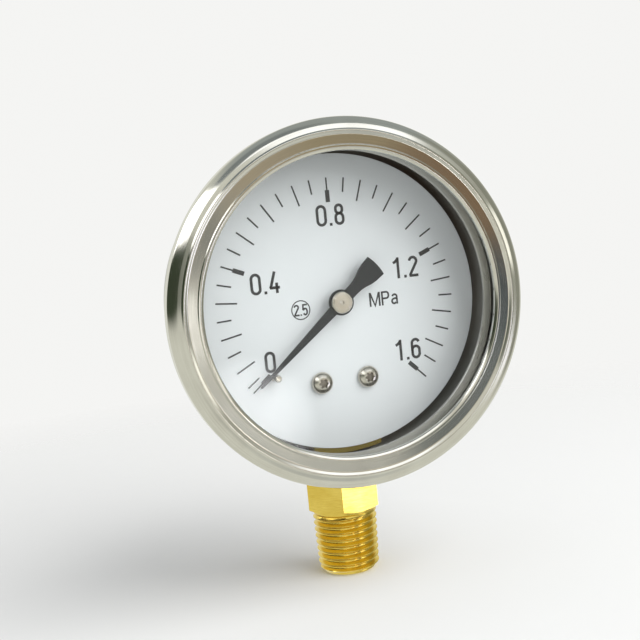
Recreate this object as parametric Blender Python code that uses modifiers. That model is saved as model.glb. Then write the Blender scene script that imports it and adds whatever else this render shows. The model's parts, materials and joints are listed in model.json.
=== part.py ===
"""Bourdon-tube pressure gauge, nominal size 63, bottom connection with a 1/4 inch pipe thread.

World frame: origin on the thread's axis at the lower end face of the shank, +Z up along the
shank, dial facing -Y. The dial group is built in the frame of the empty "dial_frame", whose
origin is the dial's centre: local X is right, local Y is up and local Z points at the reader.
Sizes are written in millimetres and turned into metres by the helper functions.
"""

import math

import bmesh
import bpy
from mathutils import Matrix, Vector

MM = 0.001

# --- Driving dimensions, in millimetres and degrees ---------------------------------------
CENTRE_HEIGHT = 55.5            # dial centre above the end of the shank
RUNNING_GAP = 0.05              # radial clearance of a shaft that turns in a hole
FIXED_GAP = 0.1                 # radial clearance of a small fastener in its hole
SEAT_GAP = 0.3                  # between faces that rest on each other

# Levels along the dial axis, positive towards the reader.
CASE_BACK = -11.0
CASE_WALL = 0.7
CASE_FRONT = 14.4
DIAL_FRONT = 9.0
DIAL_THICKNESS = 0.5
WINDOW_BACK = 16.95
WINDOW_THICKNESS = 2.0
BEZEL_FRONT = 20.2
POINTER_BACK = 11.1
POINTER_THICKNESS = 0.4
FRONT_PLATE = (7.2, 8.2)
BACK_PLATE = (1.3, 2.3)
BLOCK_FACE = 1.0
SECTOR_LEVEL = (4.3, 5.2)
LINK_LEVEL = (3.4, 4.0)
PINION_LEVEL = (3.7, 5.8)
HAIRSPRING_LEVEL = (6.15, 6.75)

# Radii about the dial axis.
CASE_RADIUS = 31.0
CASE_LIP_RADIUS = 28.9
CASE_FLANGE_RADIUS = 32.9
BEZEL_RADIUS = 34.5
BEZEL_OPENING = 28.2
WINDOW_RADIUS = 32.4
GASKET_RADII = (30.2, 32.4)
DIAL_RADIUS = 28.6

# Pointer and dial; directions are counter-clockwise from local +X.
POINTER_REST = 219.6            # the stop pin holds the pointer here, at the zero mark
POINTER_LENGTH = 22.6
POINTER_TAIL = 10.2
STOP_PIN_RADIUS = 0.7
STOP_PIN_ORBIT = 19.0
DIAL_SCREW_X = 4.73
DIAL_SCREW_Y = -15.27

# Shank radii of the screws.
DIAL_SCREW_SHANK = 1.1
MOVEMENT_SCREW_SHANK = 1.0
CASE_SCREW_SHANK = 1.25
PILLAR_SPIGOT = 0.6

# Movement: a pinion on the pointer's arbor and a toothed sector below it.
MODULE = 0.25
PINION_TEETH = 14
SECTOR_TEETH_FULL = 112
PRESSURE_ANGLE = math.radians(20.0)
TOOTH_THINNING = 0.07
SECTOR_AXIS_Y = -MODULE * (PINION_TEETH + SECTOR_TEETH_FULL) / 2.0
SECTOR_TOOTH_RANGE = (-13, 2)   # teeth counted from the one under the pinion at rest
ARBOR_RADIUS = 0.5
SECTOR_BOSS_RADIUS = 1.2
TAIL_ARM = 4.0
TAIL_ANGLE = -60.0
LINK_PIN_RADIUS = 0.5
OPEN_PIVOT_GAP = 0.22           # the link's loose hole, at the tube's tip

# Bourdon tube, an arc that runs clockwise from the socket round to the lower right.
TUBE_RADIUS = 20.5
TUBE_HALF_WIDTH = 3.8
TUBE_HALF_THICKNESS = 1.7
TUBE_WALL = 0.35
TUBE_STEPS = 32
TUBE_LEVEL = -4.0
TUBE_ROOT = 262.0
TUBE_FREE = 252.0               # where the tube leaves the socket
TUBE_TIP = -26.0
TIP_PIN = (19.5, -30.0)         # radius and direction of the tip's pin

# Socket: shank thread, hexagon, neck and block.
THREAD_RADIUS = 13.157 / 2.0
THREAD_PITCH = 25.4 / 19.0
THREAD_DEPTH = 0.64 * THREAD_PITCH
THREAD_LENGTH = 12.9
THREAD_TAPER = 1.0 / 32.0       # radius lost per length, 1 in 16 on the diameter
THREAD_SEGMENTS = 20
HEX_ACROSS_FLATS = 14.0
HEX_TOP = 21.6
HEX_TURN = 17.8                 # the hexagon's front corner is turned this far to the left
NECK_RADIUS = 6.7
SOCKET_HOLE_RADIUS = 8.4        # lets the hexagon through from inside the case
BLOCK_HALF_WIDTH = 7.0
FOOT_RADIUS = 30.0              # the foot's underside follows the case's wall
BLOCK_STEP = CENTRE_HEIGHT - 25.8
BLOCK_TOP = CENTRE_HEIGHT - 11.5
PORT_RADIUS = 2.5

# Places in the dial frame: (right, up) from the dial's centre.
RELIEF_CENTRE = (0.0, 14.0)
CASE_SCREW_HEIGHTS = (-14.6, -24.4)
MOVEMENT_SCREW = (4.0, -23.6)
PILLARS = {
    "upper_left": (-5.6, 3.4),
    "upper_right": (5.6, 3.4),
    "lower_left": (-6.9, -19.8),
    "lower_right": (6.9, -19.8),
}

# Hairspring: a flat ribbon from the stud on the front plate in to the arbor's collet.
HAIRSPRING_RADII = (4.35, 1.15)
HAIRSPRING_TURNS = 4.0
HAIRSPRING_THICKNESS = 0.12
STUD_ANGLE = -35.0
STUD_RADIUS = 0.45
COLLET_RADIUS = 0.95

# Facets round a full turn.
COARSE = 12
MEDIUM = 18
FINE = 48

FINISHES = {
    "polished_steel": ((0.62, 0.60, 0.56), 0.16, 1.0),
    "case_steel": ((0.55, 0.54, 0.52), 0.28, 1.0),
    "nickel": ((0.66, 0.63, 0.56), 0.24, 1.0),
    "brass": ((0.72, 0.50, 0.13), 0.28, 1.0),
    "bronze": ((0.60, 0.36, 0.16), 0.32, 1.0),
    "dial_white": ((0.83, 0.86, 0.88), 0.45, 0.0),
    "pointer_black": ((0.035, 0.037, 0.04), 0.42, 0.0),
    "rubber": ((0.03, 0.03, 0.03), 0.75, 0.0),
    "glass": ((0.93, 0.96, 0.96), 0.04, 0.0),
}


# --- Helpers ------------------------------------------------------------------------------
def clear_scene():
    for item in list(bpy.data.objects):
        bpy.data.objects.remove(item, do_unlink=True)


def new_collection(name):
    collection = bpy.data.collections.new(name)
    bpy.context.scene.collection.children.link(collection)
    return collection


def new_empty(name, location, rotation=(0.0, 0.0, 0.0), parent=None):
    empty = bpy.data.objects.new(name, None)
    empty.location = Vector(location) * MM
    empty.rotation_euler = rotation
    empty.parent = parent
    empty.empty_display_size = 5.0 * MM
    PARTS.objects.link(empty)
    return empty


def finish_part(part, finish):
    """Gives a part its own Principled material."""
    colour, roughness, metallic = FINISHES[finish]
    material = bpy.data.materials.new(part.name + "_" + finish)
    material.use_nodes = True
    shader = material.node_tree.nodes["Principled BSDF"]
    shader.inputs["Base Color"].default_value = (*colour, 1.0)
    shader.inputs["Roughness"].default_value = roughness
    shader.inputs["Metallic"].default_value = metallic
    part.data.materials.clear()
    part.data.materials.append(material)
    return part


def as_cutter(tool):
    """Moves an object among the cutters, which are guides and not parts."""
    for collection in list(tool.users_collection):
        collection.objects.unlink(tool)
    CUTTERS.objects.link(tool)
    tool.hide_render = True
    tool.display_type = "WIRE"
    return tool


def place(name, data, parent):
    part = bpy.data.objects.new(name, data)
    part.parent = parent
    PARTS.objects.link(part)
    return part


def smooth(part):
    part.data.shade_smooth()
    part.data.set_sharp_from_angle(angle=math.radians(35.0))
    return part


def turned(name, profile, steps, parent, closed=False):
    """Turns a profile of (radius, height) points about local Z; it runs down its outer side."""
    mesh = bpy.data.meshes.new(name)
    points = [(radius * MM, 0.0, height * MM) for radius, height in profile]
    edges = [(index, index + 1) for index in range(len(points) - 1)]
    if closed:
        edges.append((len(points) - 1, 0))
    mesh.from_pydata(points, edges, [])
    part = place(name, mesh, parent)
    screw = part.modifiers.new("Turn", "SCREW")
    screw.steps = steps
    screw.render_steps = steps
    screw.use_merge_vertices = True
    screw.merge_threshold = 0.00001
    screw.use_smooth_shade = True
    return part


def circle(radius, count, centre=(0.0, 0.0)):
    points = []
    for index in range(count):
        angle = 2.0 * math.pi * index / count
        points.append((centre[0] + radius * math.cos(angle), centre[1] + radius * math.sin(angle)))
    return points


def arc(radius, start, end, count, centre=(0.0, 0.0)):
    """Points on an arc from start to end, in degrees, both ends included."""
    points = []
    for index in range(count + 1):
        angle = math.radians(start + (end - start) * index / count)
        points.append((centre[0] + radius * math.cos(angle), centre[1] + radius * math.sin(angle)))
    return points


def polar(radius, degrees):
    angle = math.radians(degrees)
    return (radius * math.cos(angle), radius * math.sin(angle))


def flat(name, outlines, bottom, top, parent):
    """A plate from closed outlines in local XY; the outlines after the first are its holes."""
    curve = bpy.data.curves.new(name, "CURVE")
    curve.dimensions = "2D"
    curve.fill_mode = "BOTH"
    curve.extrude = (top - bottom) / 2.0 * MM
    for outline in outlines:
        spline = curve.splines.new("POLY")
        spline.points.add(len(outline) - 1)
        for point, (x, y) in zip(spline.points, outline):
            point.co = (x * MM, y * MM, 0.0, 1.0)
        spline.use_cyclic_u = True
    part = place(name, curve, parent)
    part.location = (0.0, 0.0, (top + bottom) / 2.0 * MM)
    return part


def to_mesh(source):
    """Replaces a curve or a part with modifiers by a plain welded mesh."""
    bpy.context.view_layer.update()
    graph = bpy.context.evaluated_depsgraph_get()
    name = source.name
    parent = source.parent
    matrix = source.matrix_world.copy()
    mesh = bpy.data.meshes.new_from_object(source.evaluated_get(graph))
    bpy.data.objects.remove(source, do_unlink=True)
    editable = bmesh.new()
    editable.from_mesh(mesh)
    bmesh.ops.remove_doubles(editable, verts=editable.verts, dist=0.000001)
    bmesh.ops.recalc_face_normals(editable, faces=editable.faces)
    editable.to_mesh(mesh)
    editable.free()
    part = place(name, mesh, parent)
    part.matrix_world = matrix
    return part


def block(name, low, high, parent):
    """A box between two corners, in millimetres."""
    low = Vector(low) * MM
    high = Vector(high) * MM
    editable = bmesh.new()
    bmesh.ops.create_cube(editable, size=1.0)
    size = high - low
    bmesh.ops.scale(editable, vec=size, verts=editable.verts)
    bmesh.ops.translate(editable, vec=(low + high) / 2.0, verts=editable.verts)
    mesh = bpy.data.meshes.new(name)
    editable.to_mesh(mesh)
    editable.free()
    return place(name, mesh, parent)


def rod(name, radius, bottom, top, parent, centre=(0.0, 0.0), segments=24):
    """A cylinder along local Z."""
    editable = bmesh.new()
    depth = (top - bottom) * MM
    bmesh.ops.create_cone(editable, cap_ends=True, segments=segments,
                          radius1=radius * MM, radius2=radius * MM, depth=depth)
    mesh = bpy.data.meshes.new(name)
    editable.to_mesh(mesh)
    editable.free()
    part = place(name, mesh, parent)
    part.location = (centre[0] * MM, centre[1] * MM, (top + bottom) / 2.0 * MM)
    return part


def combine(part, tool, operation):
    """Adds an exact Boolean with a tool that joins the cutters."""
    modifier = part.modifiers.new(operation.title() + "_" + tool.name, "BOOLEAN")
    modifier.operation = operation
    modifier.solver = "EXACT"
    modifier.object = as_cutter(tool)
    return part


# --- Case, bezel, window and seals --------------------------------------------------------
def make_case():
    """Drawn steel cup with a flange at its mouth, which the bezel is rolled over."""
    inner = CASE_RADIUS - CASE_WALL
    corner = 2.0
    profile = [(CASE_LIP_RADIUS, CASE_FRONT), (CASE_FLANGE_RADIUS, CASE_FRONT)]
    profile.append((CASE_FLANGE_RADIUS, CASE_FRONT - CASE_WALL))
    profile.append((CASE_RADIUS, CASE_FRONT - CASE_WALL))
    profile += arc(corner, 0.0, -90.0, 3, (CASE_RADIUS - corner, CASE_BACK + corner))
    profile.append((0.0, CASE_BACK))
    inside = [(0.0, CASE_BACK + CASE_WALL)]
    small = corner - CASE_WALL
    inside += arc(small, -90.0, 0.0, 3, (inner - small, CASE_BACK + corner))
    inside += [(inner, CASE_FRONT - CASE_WALL), (CASE_LIP_RADIUS, CASE_FRONT - CASE_WALL)]
    case = turned("case", profile + inside, FINE, DIAL_FRAME, closed=True)
    socket_hole = rod("case_socket_hole", SOCKET_HOLE_RADIUS, CENTRE_HEIGHT - 34.0,
                      CENTRE_HEIGHT - 26.0, None, segments=24)
    combine(case, socket_hole, "DIFFERENCE")
    relief_hole = rod("case_relief_hole", 4.0, CASE_BACK - 1.0, CASE_BACK + 2.0, DIAL_FRAME,
                      RELIEF_CENTRE, 20)
    combine(case, relief_hole, "DIFFERENCE")
    for index, height in enumerate(CASE_SCREW_HEIGHTS):
        hole = rod("case_screw_hole_%d" % (index + 1), CASE_SCREW_SHANK + SEAT_GAP,
                   CASE_BACK - 1.0, CASE_BACK + 2.0, DIAL_FRAME, (0.0, height), MEDIUM)
        combine(case, hole, "DIFFERENCE")
    return finish_part(case, "case_steel")


def make_bezel():
    """Rolled steel ring: lip, concave flange, ridge, round shoulder and crimped back edge."""
    front = BEZEL_FRONT
    outer = BEZEL_RADIUS
    profile = [(BEZEL_OPENING, front - 0.45), (BEZEL_OPENING + 0.4, front)]
    profile += [(29.0, front), (29.6, front - 0.35), (31.1, front - 0.35)]
    profile += [(31.6, front), (32.1, front), (32.5, front - 0.4)]
    profile += [(33.5, front - 0.85), (outer - 0.25, front - 2.0), (outer, front - 3.4)]
    profile += [(outer - 0.3, front - 5.6), (outer - 1.2, front - 7.3)]
    profile += [(31.4, front - 7.5), (31.4, front - 6.9), (33.3, front - 6.75)]
    profile += [(33.75, front - 3.2), (33.1, front - 1.6), (31.8, front - 0.95)]
    profile.append((BEZEL_OPENING, front - 0.95))
    bezel = turned("bezel", profile, FINE, DIAL_FRAME, closed=True)
    return finish_part(bezel, "polished_steel")


def make_window():
    top = WINDOW_BACK + WINDOW_THICKNESS
    edge = 0.25
    profile = [(0.0, top), (WINDOW_RADIUS - edge, top), (WINDOW_RADIUS, top - edge)]
    profile += [(WINDOW_RADIUS, WINDOW_BACK + edge), (WINDOW_RADIUS - edge, WINDOW_BACK)]
    profile.append((0.0, WINDOW_BACK))
    window = turned("window", profile, FINE, DIAL_FRAME)
    return finish_part(window, "glass")


def make_window_gasket():
    low = CASE_FRONT + SEAT_GAP
    high = WINDOW_BACK - SEAT_GAP
    inner, outer = GASKET_RADII
    profile = [(inner, high), (outer, high), (outer, low), (inner, low)]
    gasket = turned("window_gasket", profile, FINE, DIAL_FRAME, closed=True)
    return finish_part(gasket, "rubber")


def make_relief_plug():
    """Rubber blow-out plug in the back of the case: head, neck and inner lip."""
    outside = CASE_BACK - SEAT_GAP
    inside = CASE_BACK + CASE_WALL + SEAT_GAP
    neck = 3.7
    profile = [(0.0, inside + 0.9), (neck + 0.4, inside + 0.9), (neck + 0.9, inside + 0.3)]
    profile += [(neck + 0.9, inside), (neck, inside), (neck, outside), (5.2, outside)]
    profile += [(5.2, outside - 0.4), (4.6, outside - 0.9), (0.0, outside - 0.9)]
    plug = turned("relief_plug", profile, MEDIUM, DIAL_FRAME)
    plug.location = (RELIEF_CENTRE[0] * MM, RELIEF_CENTRE[1] * MM, 0.0)
    return finish_part(plug, "rubber")


def shell_ring(name, inner, outer, parent):
    """A ring about the dial axis, long enough to span the socket."""
    profile = [(inner, 14.0), (outer, 14.0), (outer, -14.0), (inner, -14.0)]
    return turned(name, profile, FINE, parent, closed=True)


def make_socket_seal():
    """Rubber grommet between the socket's neck and the hole in the curved case wall."""
    neck_gap = 0.15
    outer_wall = CASE_RADIUS + 0.15
    inner_wall = CASE_RADIUS - CASE_WALL
    flange_outside = CASE_RADIUS + 1.3
    low = CENTRE_HEIGHT - 33.5
    high = CENTRE_HEIGHT - 27.0
    seal = rod("socket_seal", SOCKET_HOLE_RADIUS - 0.15, low, high, None)
    combine(seal, shell_ring("seal_wall_band", inner_wall, flange_outside, DIAL_FRAME),
            "INTERSECT")
    flange = rod("seal_flange", SOCKET_HOLE_RADIUS + 1.0, low, high, None)
    combine(flange, shell_ring("seal_flange_band", outer_wall, flange_outside, DIAL_FRAME),
            "INTERSECT")
    combine(seal, flange, "UNION")
    bore = rod("seal_bore", NECK_RADIUS + neck_gap, low - 1.0, high + 1.0, None)
    combine(seal, bore, "DIFFERENCE")
    return finish_part(seal, "rubber")


# --- Dial, pointer and their fasteners ----------------------------------------------------
def make_dial():
    back = DIAL_FRONT - DIAL_THICKNESS
    outlines = [circle(DIAL_RADIUS, FINE), circle(1.5, MEDIUM)]
    for side in (-1.0, 1.0):
        outlines.append(circle(DIAL_SCREW_SHANK + 0.25, COARSE, (side * DIAL_SCREW_X, DIAL_SCREW_Y)))
    outlines.append(circle(STOP_PIN_RADIUS + FIXED_GAP, COARSE, stop_pin_centre()))
    dial = flat("dial", outlines, back, DIAL_FRONT, DIAL_FRAME)
    return finish_part(dial, "dial_white")


def stop_pin_centre():
    """The pin's side touches the blade's lower edge when the pointer rests at zero."""
    reach = blade_half_width(STOP_PIN_ORBIT) + STOP_PIN_RADIUS + 0.06
    offset = math.degrees(math.asin(reach / STOP_PIN_ORBIT))
    return polar(STOP_PIN_ORBIT, POINTER_REST + offset)


def make_zero_stop_pin():
    x, y = stop_pin_centre()
    bottom = DIAL_FRONT - DIAL_THICKNESS
    top = POINTER_BACK + POINTER_THICKNESS + 0.4
    profile = [(0.0, top), (STOP_PIN_RADIUS - 0.2, top), (STOP_PIN_RADIUS, top - 0.2)]
    profile += [(STOP_PIN_RADIUS, bottom), (0.0, bottom)]
    pin = turned("zero_stop_pin", profile, COARSE, DIAL_FRAME)
    pin.location = (x * MM, y * MM, 0.0)
    return finish_part(pin, "nickel")


def blade_half_width(distance):
    """The blade tapers evenly from the pointer's disc to its tip."""
    root = 1.05
    tip = 0.2
    share = min(max(distance / POINTER_LENGTH, 0.0), 1.0)
    return root + (tip - root) * share


def pointer_outline():
    """Blade along local +X, disc at the origin and a flared tail along -X."""
    disc = 2.5
    neck = 1.15
    meet = math.degrees(math.asin(blade_half_width(disc) / disc))
    neck_meet = math.degrees(math.asin(neck / disc))
    half_fan = 13.5
    shoulder = POINTER_LENGTH - 0.35
    points = [(POINTER_LENGTH, 0.0), (shoulder, blade_half_width(shoulder))]
    points += arc(disc, meet, 180.0 - neck_meet, 6)
    points += [(-4.7, neck + 0.1), (-6.6, neck + 0.75), (-7.9, 2.15)]
    points += arc(POINTER_TAIL, 180.0 - half_fan, 180.0 + half_fan, 6)
    points += [(-7.9, -2.15), (-6.6, -neck - 0.75), (-4.7, -neck - 0.1)]
    points += arc(disc, 180.0 + neck_meet, 360.0 - meet, 6)
    points.append((shoulder, -blade_half_width(shoulder)))
    return points


def make_pointer():
    top = POINTER_BACK + POINTER_THICKNESS
    outlines = [pointer_outline(), circle(1.3, MEDIUM)]
    pointer = flat("pointer", outlines, POINTER_BACK, top, POINTER_AXIS)
    pointer.rotation_euler = (0.0, 0.0, math.radians(POINTER_REST))
    return finish_part(pointer, "pointer_black")


def make_pointer_hub():
    """Turned boss: domed cap in front of the pointer, sleeve through it and a centre hole."""
    top = POINTER_BACK + POINTER_THICKNESS
    bore = ARBOR_RADIUS + FIXED_GAP
    profile = [(bore, top + 0.75), (1.6, top + 0.7), (1.95, top + 0.55), (2.1, top + 0.3)]
    profile += [(2.1, top + 0.1), (1.2, top + 0.1), (1.2, DIAL_FRONT + 0.6)]
    profile.append((bore, DIAL_FRONT + 0.6))
    hub = turned("pointer_hub", profile, MEDIUM, POINTER_AXIS, closed=True)
    return finish_part(hub, "nickel")


def star_outline(radius, lobes=6):
    """Six-lobed recess outline."""
    points = []
    count = lobes * 3
    for index in range(count):
        angle = 2.0 * math.pi * index / count
        wave = radius * (0.82 + 0.18 * math.cos(lobes * angle))
        points.append((wave * math.cos(angle), wave * math.sin(angle)))
    return points


def pan_head_screw(name, head, shank, seat, parent, centre, recess="slot"):
    """A screw along local Z: head and shank are (radius, length), seat is the head's back."""
    head_radius, head_height = head
    shank_radius, shank_length = shank
    top = seat + head_height
    profile = [(0.0, top), (head_radius * 0.65, top - 0.1 * head_height)]
    profile += [(head_radius, top - 0.6 * head_height), (head_radius, seat)]
    profile += [(shank_radius, seat), (shank_radius, seat - shank_length)]
    profile.append((0.0, seat - shank_length))
    screw = turned(name, profile, 16, parent)
    screw.location = (centre[0] * MM, centre[1] * MM, 0.0)
    depth = 0.55 * head_height
    if recess == "star":
        tool = flat(name + "_recess", [star_outline(1.05)], top - depth, top + 1.0, screw)
        tool = to_mesh(tool)
    else:
        reach = head_radius + 0.5
        half = 0.16 * head_radius
        tool = block(name + "_slot", (-reach, -half, top - depth), (reach, half, top + 1.0), screw)
    combine(screw, tool, "DIFFERENCE")
    return finish_part(screw, "nickel")


def make_dial_screws():
    shank = (DIAL_SCREW_SHANK, DIAL_FRONT - FRONT_PLATE[0] + 0.8)
    for label, side in (("left", -1.0), ("right", 1.0)):
        centre = (side * DIAL_SCREW_X, DIAL_SCREW_Y)
        pan_head_screw("dial_screw_" + label, (2.15, 1.35), shank, DIAL_FRONT + 0.15,
                       DIAL_FRAME, centre, "star")


# --- Movement -----------------------------------------------------------------------------
def tooth_half_angle(teeth, radius):
    """Half the angle that a tooth spans at a radius, along its involute flank."""
    pitch_radius = MODULE * teeth / 2.0
    base_radius = pitch_radius * math.cos(PRESSURE_ANGLE)
    at_pitch = math.pi / (2.0 * teeth) - TOOTH_THINNING / (2.0 * pitch_radius)
    local = math.acos(min(base_radius / radius, 1.0))
    involute = math.tan(local) - local
    involute_pitch = math.tan(PRESSURE_ANGLE) - PRESSURE_ANGLE
    return at_pitch + involute_pitch - involute


def tooth_points(teeth, centre_angle):
    """One tooth from root to tip and back, counter-clockwise, about the gear's centre."""
    pitch_radius = MODULE * teeth / 2.0
    base_radius = pitch_radius * math.cos(PRESSURE_ANGLE)
    root = pitch_radius - 1.3 * MODULE
    tip = pitch_radius + 0.9 * MODULE
    low = max(base_radius, root + 0.02)
    radii = [root, low, (low + tip) / 2.0, tip]
    rising = []
    for radius in radii:
        half = tooth_half_angle(teeth, max(radius, low))
        angle = centre_angle - half
        rising.append((radius * math.cos(angle), radius * math.sin(angle)))
    falling = []
    for radius in reversed(radii):
        half = tooth_half_angle(teeth, max(radius, low))
        angle = centre_angle + half
        falling.append((radius * math.cos(angle), radius * math.sin(angle)))
    return rising + falling


def pinion_outline():
    """Full gear with a gap facing down, towards the sector."""
    points = []
    step = 2.0 * math.pi / PINION_TEETH
    for index in range(PINION_TEETH):
        points += tooth_points(PINION_TEETH, -math.pi / 2.0 + (index + 0.5) * step)
    return points


def make_pinion_arbor():
    """Arbor with its pinion, through both plates, the dial and the pointer's hub."""
    top = POINTER_BACK + POINTER_THICKNESS + 0.45
    low = BACK_PLATE[0] + 0.05
    radius = ARBOR_RADIUS
    profile = [(0.0, top), (radius - 0.15, top), (radius, top - 0.15), (radius, low), (0.0, low)]
    arbor = turned("pinion_arbor", profile, COARSE, POINTER_AXIS)
    gear = flat("pinion_gear", [pinion_outline()], PINION_LEVEL[0], PINION_LEVEL[1], POINTER_AXIS)
    combine(arbor, to_mesh(gear), "UNION")
    return finish_part(arbor, "nickel")


def tail_pin():
    return polar(TAIL_ARM, TAIL_ANGLE)


def sector_outline():
    """Toothed arc above the hub, and a tail that drives it, about the sector's own axis."""
    step = 360.0 / SECTOR_TEETH_FULL
    first, last = SECTOR_TOOTH_RANGE
    rim = MODULE * SECTOR_TEETH_FULL / 2.0 - 1.3 * MODULE
    hub = 2.3
    tail_end = 1.25
    tangent = math.degrees(math.acos((hub - tail_end) / TAIL_ARM))
    points = [polar(rim, 90.0 + (first - 0.9) * step)]
    for index in range(first, last + 1):
        points += tooth_points(SECTOR_TEETH_FULL, math.radians(90.0 + index * step))
    points.append(polar(rim, 90.0 + (last + 0.9) * step))
    points += arc(hub, 150.0, 360.0 + TAIL_ANGLE - tangent, 5)
    points += arc(tail_end, TAIL_ANGLE - tangent, TAIL_ANGLE + tangent, 8, tail_pin())
    points.append(polar(hub, TAIL_ANGLE + tangent))
    return points


def sector_window():
    """Lightening hole between the hub and the toothed rim."""
    step = 360.0 / SECTOR_TEETH_FULL
    right = 90.0 + (SECTOR_TOOTH_RANGE[0] + 2.2) * step
    left = 90.0 + (SECTOR_TOOTH_RANGE[1] - 1.2) * step
    points = arc(11.6, right, left, 8)
    points += arc(5.6, left - 4.0, right + 6.0, 4)
    return points


def make_sector_gear():
    holes = [circle(SECTOR_BOSS_RADIUS + FIXED_GAP, COARSE), sector_window()]
    holes.append(circle(LINK_PIN_RADIUS + RUNNING_GAP, COARSE, tail_pin()))
    sector = flat("sector_gear", [sector_outline()] + holes, *SECTOR_LEVEL, SECTOR_AXIS)
    return finish_part(sector, "brass")


def make_sector_arbor():
    """Arbor that carries the sector on its boss, with a thin pivot in each plate."""
    front = FRONT_PLATE[1] - 0.05
    back = BACK_PLATE[0] + 0.05
    boss = SECTOR_BOSS_RADIUS
    pivot = ARBOR_RADIUS
    profile = [(0.0, front), (pivot, front), (pivot, FRONT_PLATE[0] - SEAT_GAP)]
    profile += [(boss, FRONT_PLATE[0] - SEAT_GAP), (boss, BACK_PLATE[1] + SEAT_GAP)]
    profile += [(pivot, BACK_PLATE[1] + SEAT_GAP), (pivot, back), (0.0, back)]
    arbor = turned("sector_arbor", profile, COARSE, SECTOR_AXIS)
    return finish_part(arbor, "nickel")


def plate_outline(bottom):
    """Movement plate, waisted beside the sector; bottom is its lower edge."""
    half = [(6.2, 5.6), (7.2, 4.8), (7.2, 1.0), (5.4, -2.0), (5.4, -8.0), (8.4, -12.0)]
    half += [(8.4, bottom + 0.8), (7.6, bottom)]
    mirrored = [(-x, y) for x, y in reversed(half)]
    return half + mirrored


def plate_holes():
    holes = [circle(ARBOR_RADIUS + RUNNING_GAP, COARSE)]
    holes.append(circle(ARBOR_RADIUS + RUNNING_GAP, COARSE, (0.0, SECTOR_AXIS_Y)))
    for x, y in PILLARS.values():
        holes.append(circle(PILLAR_SPIGOT + FIXED_GAP, COARSE, (x, y)))
    return holes


def make_front_plate():
    holes = plate_holes()
    for side in (-1.0, 1.0):
        centre = (side * DIAL_SCREW_X, DIAL_SCREW_Y)
        holes.append(circle(DIAL_SCREW_SHANK + FIXED_GAP, COARSE, centre))
    holes.append(circle(STUD_RADIUS + FIXED_GAP, COARSE, stud_centre()))
    outlines = [plate_outline(-21.6)] + holes
    plate = flat("movement_front_plate", outlines, *FRONT_PLATE, DIAL_FRAME)
    return finish_part(plate, "brass")


def make_back_plate():
    holes = plate_holes()
    for side in (-1.0, 1.0):
        centre = (side * MOVEMENT_SCREW[0], MOVEMENT_SCREW[1])
        holes.append(circle(MOVEMENT_SCREW_SHANK + FIXED_GAP, COARSE, centre))
    outlines = [plate_outline(-25.4)] + holes
    plate = flat("movement_back_plate", outlines, *BACK_PLATE, DIAL_FRAME)
    return finish_part(plate, "brass")


def make_pillars():
    """Riveted posts that space the plates."""
    front = FRONT_PLATE[0] - FIXED_GAP
    back = BACK_PLATE[1] + FIXED_GAP
    spigot = PILLAR_SPIGOT
    body = 1.1
    profile = [(0.0, FRONT_PLATE[1]), (spigot, FRONT_PLATE[1]), (spigot, front), (body, front)]
    profile += [(body, back), (spigot, back), (spigot, BACK_PLATE[0]), (0.0, BACK_PLATE[0])]
    for label, (x, y) in PILLARS.items():
        pillar = turned("movement_pillar_" + label, profile, COARSE, DIAL_FRAME)
        pillar.location = (x * MM, y * MM, 0.0)
        finish_part(pillar, "brass")


def make_movement_screws():
    for label, side in (("left", -1.0), ("right", 1.0)):
        centre = (side * MOVEMENT_SCREW[0], MOVEMENT_SCREW[1])
        pan_head_screw("movement_screw_" + label, (1.6, 1.0), (MOVEMENT_SCREW_SHANK, 4.2),
                       BACK_PLATE[1] + FIXED_GAP, DIAL_FRAME, centre)


def hairspring_point(turn, offset):
    """A point on the spiral: turn counts from the outer end, offset is across the ribbon."""
    outer, inner = HAIRSPRING_RADII
    share = turn / HAIRSPRING_TURNS
    radius = outer + (inner - outer) * share + offset
    return polar(radius, STUD_ANGLE + 360.0 * turn)


def make_hairspring():
    """Flat spiral ribbon from the stud on the front plate in to the collet."""
    count = int(HAIRSPRING_TURNS * 16)
    thickness = HAIRSPRING_THICKNESS
    outside = []
    inside = []
    for index in range(count + 1):
        turn = HAIRSPRING_TURNS * index / count
        outside.append(hairspring_point(turn, thickness / 2.0))
        inside.append(hairspring_point(turn, -thickness / 2.0))
    spring = flat("hairspring", [outside + inside[::-1]], *HAIRSPRING_LEVEL, DIAL_FRAME)
    return finish_part(spring, "bronze")


def make_hairspring_collet():
    low = HAIRSPRING_LEVEL[0] - 0.2
    high = HAIRSPRING_LEVEL[1] + 0.2
    outlines = [circle(COLLET_RADIUS, MEDIUM), circle(ARBOR_RADIUS + FIXED_GAP, COARSE)]
    collet = flat("hairspring_collet", outlines, low, high, POINTER_AXIS)
    return finish_part(collet, "brass")


def stud_centre():
    """The stud stands just outside the spring's outer end."""
    orbit = HAIRSPRING_RADII[0] + HAIRSPRING_THICKNESS / 2.0 + STUD_RADIUS + RUNNING_GAP
    return polar(orbit, STUD_ANGLE + 1.0)


def make_hairspring_stud():
    low = HAIRSPRING_LEVEL[0] - 0.2
    profile = [(0.0, FRONT_PLATE[1]), (STUD_RADIUS, FRONT_PLATE[1]), (STUD_RADIUS, low)]
    profile.append((0.0, low))
    stud = turned("hairspring_stud", profile, COARSE, DIAL_FRAME)
    x, y = stud_centre()
    stud.location = (x * MM, y * MM, 0.0)
    return finish_part(stud, "brass")


# --- Link, Bourdon tube and tip -----------------------------------------------------------
def link_ends():
    """The link's two holes in the dial frame: at the sector's tail and at the tube's tip."""
    x, y = tail_pin()
    return (x, y + SECTOR_AXIS_Y), polar(*TIP_PIN)


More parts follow.
